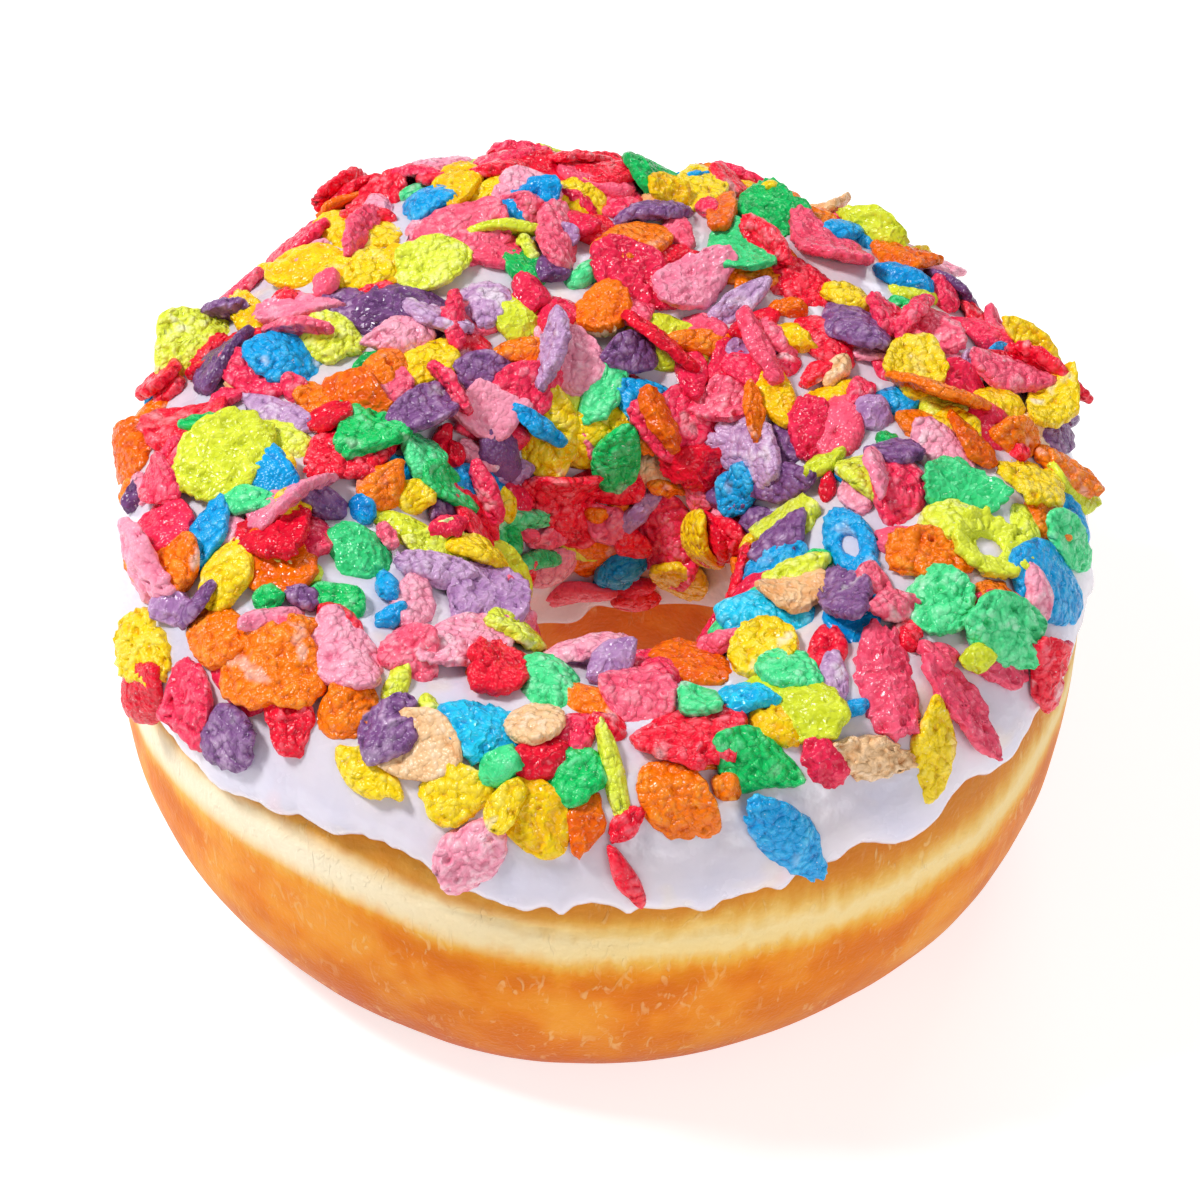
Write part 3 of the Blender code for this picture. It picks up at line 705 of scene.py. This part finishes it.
def lay_flake(row, rng, seat, loose=True, tip=TIPPED):
    """Least squares: height = level + lean along the length + lean across it, over the cells
    that a flake covers, raised until the share called seat of them are under it. A loose one
    may stand on edge, and slides off where the heap is already high."""
    turn, share, length, width, turned = row
    own_lean = rng.normal(0, OWN_LEAN, 2)
    standing = (rng.random() < STANDING_SHARE and loose) or tip > TIPPED
    i = int(round(turn / math.tau * HEAP_TURNS)) % HEAP_TURNS
    j = int(np.abs(shares - share).argmin())
    if loose and heap[i, j] > HIGHEST_HEAP:
        return
    foot, normal = places[i, j], normals[i, j]
    along = places[(i + 1) % HEAP_TURNS, j] - places[i - 1, j]
    along -= normal * (along @ normal)
    along /= np.linalg.norm(along)
    inward = np.cross(normal, along)
    long_way = math.cos(turned) * along + math.sin(turned) * inward
    short_way = np.cross(normal, long_way)
    away = places - foot
    x, y, rise = away @ long_way, away @ short_way, away @ normal
    under = np.hypot(2 * x / length, 2 * y / width) < 1
    under &= (normals @ normal > SAME_SIDE) & (np.abs(rise) < FARTHEST_RISE * length)
    level = (rise + heap)[under]
    base = np.stack([np.ones(level.size), x[under], y[under]], -1)
    height, lean_x, lean_y = np.linalg.lstsq(base, level, rcond=None)[0]
    lean_x, lean_y = np.clip([lean_x, lean_y], -LARGEST_LEAN, LARGEST_LEAN) + own_lean
    plane = lean_x * x + lean_y * y
    height = np.quantile(level - plane[under], seat)
    if not standing:
        top = height + plane + FLAKE_THICKNESS * TOP_RISE - rise
        on_top[under & (top > heap)] = len(laid) + 1
        heap[under] = np.maximum(heap, top)[under]
    face = normal - lean_x * long_way - lean_y * short_way
    face /= np.linalg.norm(face)
    if standing:
        face = math.cos(tip) * face + math.sin(tip) * short_way
        stood_up.append(len(laid))
    long_way = long_way - face * (long_way @ face)
    long_way /= np.linalg.norm(long_way)
    centre = foot + normal * (height + CENTRE_RISE * FLAKE_THICKNESS)
    laid.append((centre, np.stack([long_way, np.cross(face, long_way), face], -1), length, width))


shares, places, normals, areas = heap_grid()
heap, on_top, laid, stood_up = np.zeros(areas.shape), np.zeros(areas.shape, int), [], []
flake_rng = np.random.default_rng(FLAKE_SEED)
landmarks = np.array(LANDMARKS) * (math.radians(1), 1, MM, MM, math.radians(1))
for row in scattered(flake_rng, landmarks):
    lay_flake(row, flake_rng, SEAT)
loose_laid = len(laid)
for row in landmarks:
    lay_flake(row, flake_rng, SEAT, loose=False)
print("flakes:", len(laid), "heap in mm:", (np.quantile(heap, [0.1, 0.5, 0.9]) / MM).round(2))

# %% [markdown]
# ## Chips in the gaps
# Broken bits slip between the large flakes until hardly any icing shows. We go on along the
# same even sequence, but only use the places where the height map is still bare, and we seat
# these chips lower, so that they look tucked in.

# %% Fill the gaps
CHIP_TRIES, CHIP_SEAT, CHIP_LOWEST_SHARE, BARE_HEAP = 1600, 0.35, 0.16, 0.4 * MM
CHIP_LENGTH, CHIP_SLIMNESS = (2.6 * MM, 7.0 * MM), (0.45, 0.9)

for number in SPREAD_TRIES * LOOSE_FLAKES + np.arange(CHIP_TRIES):
    turn, share = spread(number, CHIP_LOWEST_SHARE)
    bare = heap[int(turn / math.tau * HEAP_TURNS), int(np.abs(shares - share).argmin())]
    if bare < BARE_HEAP:
        length = flake_rng.uniform(*CHIP_LENGTH)
        width = length * flake_rng.uniform(*CHIP_SLIMNESS)
        lay_flake((turn, share, length, width, flake_rng.uniform(0, math.tau)), flake_rng, CHIP_SEAT)
print("with chips:", len(laid), "bare share:", (areas[heap < BARE_HEAP].sum() / areas.sum()).round(2))

# %% [markdown]
# ## Slivers on edge
# Some narrow flakes were caught on edge between the others, which is what makes the heap look
# loose. They go on along the same even sequence, over the back and the sides, where the heap
# is seen against the light, and stand much steeper than the few that tipped by chance.

# %% Stand the slivers up
SLIVERS, SLIVER_SEAT, SLIVER_TIP = 20, 0.75, math.radians(62)
SLIVER_LENGTH, SLIVER_SLIMNESS = (6.0 * MM, 9.0 * MM), (0.34, 0.5)
SLIVER_SHARES, LEAST_BACK = (0.08, 0.72), -0.35

number, before_slivers = SPREAD_TRIES * LOOSE_FLAKES + CHIP_TRIES, len(laid)
while SLIVERS > len(laid) - before_slivers:
    number += 1
    turn, share = spread(number, *SLIVER_SHARES, bare_front=0)
    if math.sin(turn) > LEAST_BACK:
        length = flake_rng.uniform(*SLIVER_LENGTH)
        width = length * flake_rng.uniform(*SLIVER_SLIMNESS)
        row = (turn, share, length, width, flake_rng.uniform(0, math.tau))
        lay_flake(row, flake_rng, SLIVER_SEAT, loose=False, tip=SLIVER_TIP)
print("with slivers:", len(laid), "standing:", len(stood_up))

# %% [markdown]
# ## The icing
# Wet icing creeps up round every flake that touches it, sags into soft folds and ends in small
# drips. We take the smooth layer and add three things: a swell where the heap lies on it, slow
# noise for the folds, and a ragged lower edge.

# %% Icing surface
ICING_TURNS, ICING_ROWS, ICING_BACK_ROWS = 760, 110, 8
# Azimuth in degrees, length and half width in mm of the drips at the outer edge; where the
# length is less than nothing, the edge stays higher instead
DRIPS = (
    (250, -1.7, 5.0), (270, -1.2, 15.0), (316, -2.0, 3.2), (308, 0.7, 2.5),
    (264, 0.6, 1.2), (268, 0.9, 0.9), (275, 0.8, 0.8), (283, 0.7, 1.2), (292, 0.9, 0.9),
    (298, 0.6, 1.2), (241, 0.5, 2.0), (234, 0.6, 1.4), (226, 0.7, 1.8), (324, 0.6, 1.5),
    (335, 1.0, 1.8), (350, 0.9, 1.2), (10, 1.3, 1.6), (32, 0.9, 2.2), (58, 1.2, 1.4),
    (84, 1.0, 2.0), (110, 1.4, 1.5), (140, 0.9, 2.1), (163, 1.2, 1.4), (190, 1.0, 1.9),
)


def ragged_edge(turn):
    """Fine noise along the edge, less a Gaussian for each drip, in metres."""
    edge = np.stack([np.cos(turn), np.sin(turn), 0 * turn], -1) * RIM_RADIUS
    ragged = 0.30 * MM * noise(edge, 2.2 * MM, 11) + 0.16 * MM * noise(edge, 0.9 * MM, 12)
    for middle, length, half_width in DRIPS:
        away = (turn - math.radians(middle) + math.pi) % math.tau - math.pi
        ragged -= length * MM * np.exp(-((away * RIM_RADIUS / (half_width * MM)) ** 2))
    return ragged


def heap_swell(turn, share):
    """How much of a flake's thickness lies over a place: the blurred height map, read between
    its four nearest cells."""
    cover = np.clip(heap / MM, 0, 1)
    for _ in range(2):
        cover = (np.roll(cover, 1, 0) + cover + np.roll(cover, -1, 0)) / 3
        cover[:, 1:-1] = (cover[:, :-2] + cover[:, 1:-1] + cover[:, 2:]) / 3
    i = turn / math.tau * HEAP_TURNS
    j = np.clip((share - HEAP_MARGIN) / (1 - 2 * HEAP_MARGIN), 0, 1) * (HEAP_ROWS - 1.001)
    low_i, low_j = np.floor(i).astype(int), np.floor(j).astype(int)
    part_i, part_j = i - low_i, j - low_j
    total = 0
    for far_i, far_j in np.ndindex(2, 2):
        weight = np.abs(1 - far_i - part_i) * np.abs(1 - far_j - part_j)
        total = total + weight * cover[(low_i + far_i) % HEAP_TURNS, low_j + far_j]
    return total


step = np.linspace(0, 1, ICING_ROWS)[:, None]
share = 0.5 - 0.5 * np.cos(math.pi * (0.25 * np.sin(math.pi * (step - 0.5)) + 0.25 + 0.5 * step))
turn = np.linspace(0, math.tau, ICING_TURNS, endpoint=False)[None, :]
ragged = ragged_edge(turn)
front_lift = FIT_GAP + icing_thickness(share)
smooth = icing_surface(turn, share, front_lift, ragged)
folds = 0.16 * MM * noise(smooth, 5 * MM, 21) + 0.07 * MM * noise(smooth, 1.7 * MM, 22)
inner_part = np.clip(share / 0.2, 0, 1) * np.clip((1 - share) / 0.05, 0, 1)
swell = 0.42 * MM * heap_swell(turn + 0 * share, share + 0 * turn) * inner_part
front = icing_surface(turn, share, front_lift + swell + folds * (0.3 + 0.7 * inner_part), ragged)
back_share = np.linspace(1, 0, ICING_BACK_ROWS)[:, None]
behind = icing_surface(turn, back_share, FIT_GAP, ragged)
icing_points = np.clip(np.concatenate([front, behind]), *solid_box)
print("icing top in mm:", (icing_points[..., 2].max() / MM).round(1))

# %% Icing mesh
icing = mesh_object(
    "icing_coat",
    icing_points.reshape(-1, 3),
    [ring_faces(len(icing_points), ICING_TURNS, True)],
)
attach(icing, "root")
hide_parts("icing")
print("icing quads:", len(icing.data.polygons))

# %% [markdown]
# ## Icing material
# Set sugar icing is white with a cool cast, lets some light in and gleams where it is smooth.
# Colour from the flakes has bled into it here and there.

# %% Icing material
sugar = Surface("white icing", Subsurface_Weight=0.25, Subsurface_Scale=1.0)
sugar.set(Subsurface_Radius=(2.4 * MM, 2.0 * MM, 2.2 * MM), Coat_Weight=0.3, Coat_Roughness=0.12)
cool = sugar.mix(
    sugar.noise(9 * MM).step(0.3, 0.7), shade(218, 214, 234), shade(230, 220, 228)
)
stain = sugar.noise(6 * MM, detail=2).step(0.56, 0.72)
stain_colour = sugar.mix(
    sugar.noise(15 * MM).step(0.45, 0.55), shade(252, 206, 206), shade(248, 232, 178)
)
sugar.set(Base_Color=sugar.mix(0.45 * stain, cool, stain_colour))
sugar.set(Roughness=0.14 + 0.22 * sugar.noise(3 * MM))
sugar.bump(sugar.noise(1.3 * MM, detail=2), 0.10 * MM)
icing.data.materials.append(sugar.data)
print("icing nodes:", len(sugar.tree.nodes))

# %% [markdown]
# ## Kinds of flake
# Each colour is one kind and becomes one piece. A kind is told by its record slot, its share
# of the loose flakes and its screen colours: the body of the flake, the pale of its raised
# blisters, partly thin sugar and partly painted light, and the darker colour of its pits and
# creases, which is painted shade.

# %% Colours and their shares
KINDS = {
    "crimson": ("flake_crimson", 0.15, (255, 20, 54), (255, 140, 156), (208, 0, 38)),
    "cherry": ("flake_crimson", 0.13, (255, 48, 92), (255, 156, 176), (220, 14, 58)),
    "rose": ("flake_rose", 0.10, (255, 96, 128), (255, 188, 200), (238, 54, 92)),
    "blush": ("flake_blush", 0.07, (255, 160, 186), (255, 228, 236), (242, 110, 146)),
    "orange": ("flake_orange", 0.10, (255, 122, 0), (255, 172, 56), (222, 76, 0)),
    "golden": ("flake_golden", 0.11, (255, 218, 10), (255, 238, 110), (242, 170, 0)),
    "lemon": ("flake_lemon", 0.09, (232, 242, 64), (248, 252, 172), (198, 208, 20)),
    "mint": ("flake_green", 0.05, (78, 232, 148), (190, 255, 214), (22, 190, 104)),
    "emerald": ("flake_green", 0.03, (10, 206, 102), (130, 246, 178), (0, 150, 68)),
    "azure": ("flake_azure", 0.07, (0, 166, 236), (92, 214, 255), (0, 118, 200)),
    "sky": ("flake_azure", 0.01, (36, 210, 250), (160, 242, 255), (0, 162, 224)),
    "violet": ("flake_violet", 0.06, (132, 84, 142), (208, 172, 210), (80, 40, 92)),
    "lilac": ("flake_lilac", 0.04, (202, 158, 204), (244, 224, 244), (158, 104, 166)),
    "peach": ("flake_peach", 0.02, (252, 204, 152), (255, 240, 220), (236, 160, 92)),
}
kind_names = list(KINDS)
kind_rng = np.random.default_rng(5)
weights = np.array([KINDS[name][1] for name in kind_names])
drawn = kind_rng.choice(kind_names, len(laid) - len(LANDMARKS), p=weights / weights.sum())
flake_kinds = np.array([*drawn[:loose_laid], *LANDMARK_KINDS, *drawn[loose_laid:]])
print({name: int((flake_kinds == name).sum()) for name in kind_names})

# %% [markdown]
# ## The form of a flake
# A flake is a puffed grain of rice pressed flat: a lens with an uneven outline, often pointed
# at its ends, a little curled, blistered all over and pitted where bubbles burst. We work out
# all flakes of a kind in one array. A grid of rings goes from the middle of the upper face,
# over the rim, to the middle of the lower one.

# %% Lens with an uneven outline


def outlines(count, rng, angle):
    """Outline radius of each flake: 1 + a few slow waves + many fine ones, which are strong
    on ragged flakes and faint on smooth ones, less a Gaussian bite in some of them."""
    waves = np.arange(2, 27)[None, :, None]
    ragged = rng.uniform(0.5, 1.25, (count, 1, 1)) ** 2
    size = rng.normal(0, 1, (count, waves.size, 1)) * np.where(waves < 6, 0.024, 0.0085 * ragged)
    phase = rng.uniform(0, math.tau, (count, waves.size, 1))
    outline = 1 + (size * np.cos(waves * angle + phase)).sum(1)
    depth = rng.uniform(-0.6, 0.3, (count, 1)).clip(0)
    away = (angle[:, 0] - rng.uniform(0, math.tau, (count, 1)) + math.pi) % math.tau - math.pi
    return outline - depth * np.exp(-((away / rng.uniform(0.10, 0.3, (count, 1))) ** 2))


def lens(length, width, rng, rings, spokes, hole=0.0):
    """x = half length * rho * cos, y = half width * rho * sin * (1 - p |cos|) * (1 + e cos),
    z = half thickness * cos(a)^0.45 with rho = outline * sin a, p the pointedness and e the
    egg shape. With a hole, a runs round a flat ring instead. Then a bend along x, one along y
    and a twist."""
    count = len(length)
    angle = (np.arange(spokes) / spokes * math.tau)[None, None, :]
    outline = outlines(count, rng, angle)[:, None]
    if hole:
        a = -np.linspace(0, math.tau, rings, endpoint=False)[None, :, None]
        rho = (1 + hole + (1 - hole) * power(np.cos(a), 0.8)) / 2
        rho = rho * (1 + (outline - 1) * rho)
        rise = power(np.sin(a), 0.7)
    else:
        a = np.linspace(0, math.pi, rings + 2)[None, :, None]
        rho = np.sin(a) * (1 + (outline - 1) * np.sin(a) ** 2)
        rise = power(np.cos(a), 0.45)
    pointed = rng.uniform(-0.1, 0.45, (count, 1, 1)).clip(0)
    egg = rng.uniform(-0.25, 0.25, (count, 1, 1))
    x = rho * np.cos(angle)
    y = rho * np.sin(angle) * (1 - pointed * np.abs(np.cos(angle))) * (1 + egg * np.cos(angle))
    thick = rng.uniform(0.75, 1.15, (count, 1, 1)) * 0.46 * FLAKE_THICKNESS
    bend = rng.normal((-0.12, -0.10, 0.0), (0.18, 0.18, 0.16), (count, 3))[:, None, None]
    half_length, half_width = length[:, None, None] / 2, width[:, None, None] / 2
    bent = bend[..., 0] * x**2 + bend[..., 1] * y**2 + bend[..., 2] * x * y
    z = thick * rise + half_width * bent
    return np.stack([x * half_length, y * half_width, z], -1)


test_lens = lens(np.array([8 * MM]), np.array([6 * MM]), np.random.default_rng(0), 15, 24)
print("one flake in mm:", ((test_lens.max((0, 1, 2)) - test_lens.min((0, 1, 2))) / MM).round(1))

# %% [markdown]
# ## Blisters and pits
# Two sizes of cell noise give the blisters, which meet in creases as real bubbles do. About one
# cell in seven burst and is a pit with a raised lip. The relief moves each point along the
# lens's own normal, so the rim gets its crags from the same noise.

# %% Relief of a flake
BURST_SHARE = 0.15
CRUMPLE_DEPTH, CRUMPLE_SIZE = 0.22 * MM, 3.4 * MM
LARGE_BLISTER, SMALL_BLISTER, GRAIN_SIZE = 1.25 * MM, 0.75 * MM, 0.45 * MM


def blisters(points, size, seed):
    """A dome 1 - 1.5 d^2 about each cell's point, or for burst cells a pit: minus a Gaussian
    of the distance plus a narrow ring at its lip."""
    distance, number = cells(points, size, seed)
    dome = 1 - 1.5 * distance**2
    lip = 0.9 * np.exp(-(((distance - 0.44) / 0.11) ** 2))
    pit = lip - 1.7 * np.exp(-((distance / 0.28) ** 2))
    return np.where(number < BURST_SHARE, pit, dome)


def lens_normals(points):
    """Cross product of the slopes along the spokes and round the rings."""
    round_rings = np.roll(points, -1, 2) - np.roll(points, 1, 2)
    down_spokes = np.gradient(points, axis=1)
    normals = np.cross(down_spokes, round_rings)
    normals /= np.maximum(np.linalg.norm(normals, axis=-1, keepdims=True), 1e-12)
    return normals


def puffed(points, rng, seed):
    """The lens moved by blisters of two sizes and a grain, up or down by the whole relief and
    sideways by half of it, and crumpled by slow noise. Also returns the relief."""
    count = len(points)
    own_place = rng.uniform(0, 30 * MM, (count, 1, 1, 3))
    craggy = rng.uniform(0.55, 1.25, (count, 1, 1))
    crumple = CRUMPLE_DEPTH * noise(points * (1, 1, 0.2) + own_place, CRUMPLE_SIZE, seed)
    large = blisters(points + own_place, LARGE_BLISTER, seed + 1)
    small = blisters(points + own_place, SMALL_BLISTER, seed + 2)
    grain = noise(points + own_place, GRAIN_SIZE, seed + 3)
    relief = 0.55 * large + 0.5 * small + 0.12 * grain - 0.4
    reach = np.array((0.24, 0.24, 0.40)) * MM
    moved = points + lens_normals(points) * (craggy * relief)[..., None] * reach
    moved[..., 2] += crumple
    return moved, relief * craggy


# %% [markdown]
# ## Building the kinds
# Most flakes are partly buried, so they get a coarse grid, and the ones that show most get a
# fine one: the eye hardly sees the difference, and the file stays small. Each grid's first and
# last ring have no size, so we keep one point of each and close it with a fan.

# %% One mesh for each kind
FINE_FLAKES = 142
FINE_GRID, COARSE_GRID, HOLED_GRID = (32, 62), (13, 26), (22, 62)
HOLED_LANDMARKS, HOLE_SHARE = (43, 44), 0.34


def holed_grid(points, relief):
    """Points, relief and faces of a grid that closes both ways."""
    count, rings, spokes = relief.shape
    quads = ring_faces(rings, spokes, True)[:, ::-1]
    return points.reshape(count, -1, 3), relief.reshape(count, -1), [quads]


def fan_grid(points, relief):
    """Drops the spare points of the two poles and lists the faces of one flake's grid."""
    points[:, [0, -1]] = points[:, [0, -1]].mean(2, keepdims=True)
    count, rows, spokes = relief.shape
    rings = rows - 2
    middle = points[:, 1:-1].reshape(count, -1, 3)
    poles = points[:, [0, -1], 0]
    all_points = np.concatenate([middle, poles], 1)
    all_relief = np.concatenate([relief[:, 1:-1].reshape(count, -1), relief[:, [0, -1], 0]], 1)
    spoke = np.arange(spokes)
    beside, last = (spoke + 1) % spokes, (rings - 1) * spokes
    top = np.stack([np.full(spokes, rings * spokes), spoke, beside], -1)
    bottom = np.stack([np.full(spokes, rings * spokes + 1), last + beside, last + spoke], -1)
    quads = ring_faces(rings, spokes, False)[:, ::-1]
    return all_points, all_relief, [quads, np.concatenate([top, bottom])]


def flake_batch(numbers, grid, seed):
    """Points, relief, tone and faces of the numbered flakes, laid in their places."""
    rng = np.random.default_rng(seed)
    centres, ways, lengths, widths = (np.array(v) for v in zip(*[laid[k] for k in numbers]))
    holed = grid == HOLED_GRID
    local, relief = puffed(lens(lengths, widths, rng, *grid, HOLE_SHARE * holed), rng, seed)
    local, relief, faces = (holed_grid if holed else fan_grid)(local, relief)
    points = centres[:, None] + np.einsum("fij,fpj->fpi", ways, local)
    points -= np.maximum(points.max(1, keepdims=True) - solid_box[1], 0)
    points -= np.minimum(points.min(1, keepdims=True) - solid_box[0], 0)
    tone = np.repeat(rng.random((len(numbers), 1)), points.shape[1], axis=1)
    return points, relief, tone, faces


def flake_piece(name, numbers, seed):
    """Joins a kind's fine, coarse and holed flakes: each flake's faces are the grid's, moved
    on by the number of points before it."""
    holed = [k for k in numbers if k in holed_flakes]
    fine = [k for k in numbers if k in fine_flakes]
    coarse = [k for k in numbers if k not in fine_flakes and k not in holed_flakes]
    points, relief, tone, quads, fans, total = [], [], [], [], [], 0
    for chosen, grid, offset in ((fine, FINE_GRID, 0), (coarse, COARSE_GRID, 50), (holed, HOLED_GRID, 90)):
        if not chosen:
            continue
        batch_points, batch_relief, batch_tone, faces = flake_batch(chosen, grid, seed + offset)
        starts = total + np.arange(len(chosen))[:, None, None] * batch_points.shape[1]
        quads.append((faces[0][None] + starts).reshape(-1, 4))
        if grid != HOLED_GRID:
            fans.append((faces[1][None] + starts).reshape(-1, 3))
        points.append(batch_points.reshape(-1, 3))
        relief.append(batch_relief.ravel())
        tone.append(batch_tone.ravel())
        total += points[-1].shape[0]
    values = {"relief": np.concatenate(relief), "tone": np.concatenate(tone)}
    return mesh_object(name, np.concatenate(points), [*map(np.concatenate, (quads, fans))], values)


shown = np.bincount(on_top.ravel(), weights=areas.ravel(), minlength=len(laid) + 1)[1:]
holed_flakes = {loose_laid + number for number in HOLED_LANDMARKS}
fine_flakes = {*np.argsort(-shown)[:FINE_FLAKES].tolist(), *stood_up} - holed_flakes
flake_pieces = {}
for place, kind in enumerate(kind_names):
    members = np.flatnonzero(flake_kinds == kind).tolist()
    flake_pieces[kind] = flake_piece(f"flakes_{kind}", members, 100 + 200 * place)
    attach(flake_pieces[kind], "root")
    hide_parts("icing")
    triangles = sum(len(p.vertices) - 2 for p in flake_pieces[kind].data.polygons)
    print(kind, len(members), "flakes,", triangles, "triangles")

# %% [markdown]
# ## Flake material
# Dyed puffed rice has a sugary gloss. We colour it by the relief that the mesh carries: its
# pits and creases get painted shade, and its blister tops turn paler, partly thin sugar and
# partly painted light. Each flake has its own tone, a film of icing lies in patches, since the
# flakes fell into wet icing, and small white specks are painted glints.

# %% Flake materials
FROTH, FINE_FROTH = 0.74, 0.38


def flake_material(kind, body, pale, crease_shade):
    """Froth: whole bubbles have paler tops, partly thin sugar and partly painted light, and painted
    shade in the creases between them. On the flakes with a low tone they burst, so the rims are
    paler and the floors get painted shade. Icing films some, and white specks are painted glints."""
    skin = Surface(f"{kind} flake", Specular_IOR_Level=0.36)
    relief, tone = skin.attribute("relief"), skin.attribute("tone")
    warped = skin.warped(1.4 * MM, 0.6 * MM)
    dome, fine = skin.bubbles(FROTH * MM, warped), skin.bubbles(FINE_FROTH * MM, warped)
    whole = tone.step(0.22, 0.34)
    froth = dome * (whole * 1.7 - 0.7) + 0.7 * (1 - whole)
    height = froth + 0.3 * fine + relief * 0.55 + (skin.noise(1.7 * MM, detail=1) - 0.5) * 0.9
    # Painted shade: the low places, the creases and the floors of burst pits, take the darker colour.
    colour = skin.mix(height.step(0.80, 0.2) * 0.8, shade(*body), shade(*crease_shade))
    patches = skin.noise(2.6 * MM, detail=1).step(0.38, 0.62)
    # Partly thin sugar and partly painted light: the highest blister tops take the pale colour.
    thin_and_lit_tops = height.step(0.95, 1.65) * (0.3 + 0.6 * patches)
    colour = skin.mix(thin_and_lit_tops, colour, shade(*pale))
    film = skin.noise(3.0 * MM, detail=2).step(0.62, 0.70) * tone.step(0.5, 0.95)
    # Painted glints: tiny white specks of painted highlight, mixed in with the icing film's white.
    painted_glints = skin.noise(0.32 * MM, detail=1).step(0.70, 0.76) * patches
    colour = skin.mix(0.5 * film + 0.55 * painted_glints, colour, shade(252, 246, 248))
    skin.set(Base_Color=colour, Roughness=0.08 + 0.34 * skin.noise(1.1 * MM, detail=1))
    skin.bump(froth + 0.3 * fine, 0.34 * MM)
    return skin.data


for kind, (_, _, body, pale, crease_shade) in KINDS.items():
    flake_pieces[kind].data.materials.append(flake_material(kind, body, pale, crease_shade))
print("flake materials:", len(KINDS))

# %% [markdown]
# ## Floor
# The doughnut stands on a plain pale floor, large enough that no edge shows from any side.

# %% Plain pale floor
FLOOR_HALF, FLOOR_GLOW = 3.0, 0.66
corners = np.array([(-1, -1, 0), (1, -1, 0), (1, 1, 0), (-1, 1, 0)]) * FLOOR_HALF
floor = mesh_object("floor", corners, [np.array([[0, 1, 2, 3]])])
pale_floor = Surface("pale floor", Roughness=0.9, Emission_Color=(1.0, 1.0, 1.0, 1))
pale_floor.set(Emission_Strength=FLOOR_GLOW)
cloudy = pale_floor.noise(0.4).step(0.2, 0.8)
pale_floor.set(Base_Color=pale_floor.mix(cloudy, (0.62, 0.62, 0.62, 1), (0.65, 0.65, 0.65, 1)))
floor.data.materials.append(pale_floor.data)
print("floor half width in m:", FLOOR_HALF)

# %% [markdown]
# ## The box of the solids
# The fine pieces have to stay in the box of the plain solids, so we print that box.

# %% Print the box of the solids
print("solids in mm:", [[round(c / MM, 1) for c in v] for v in solid_box])
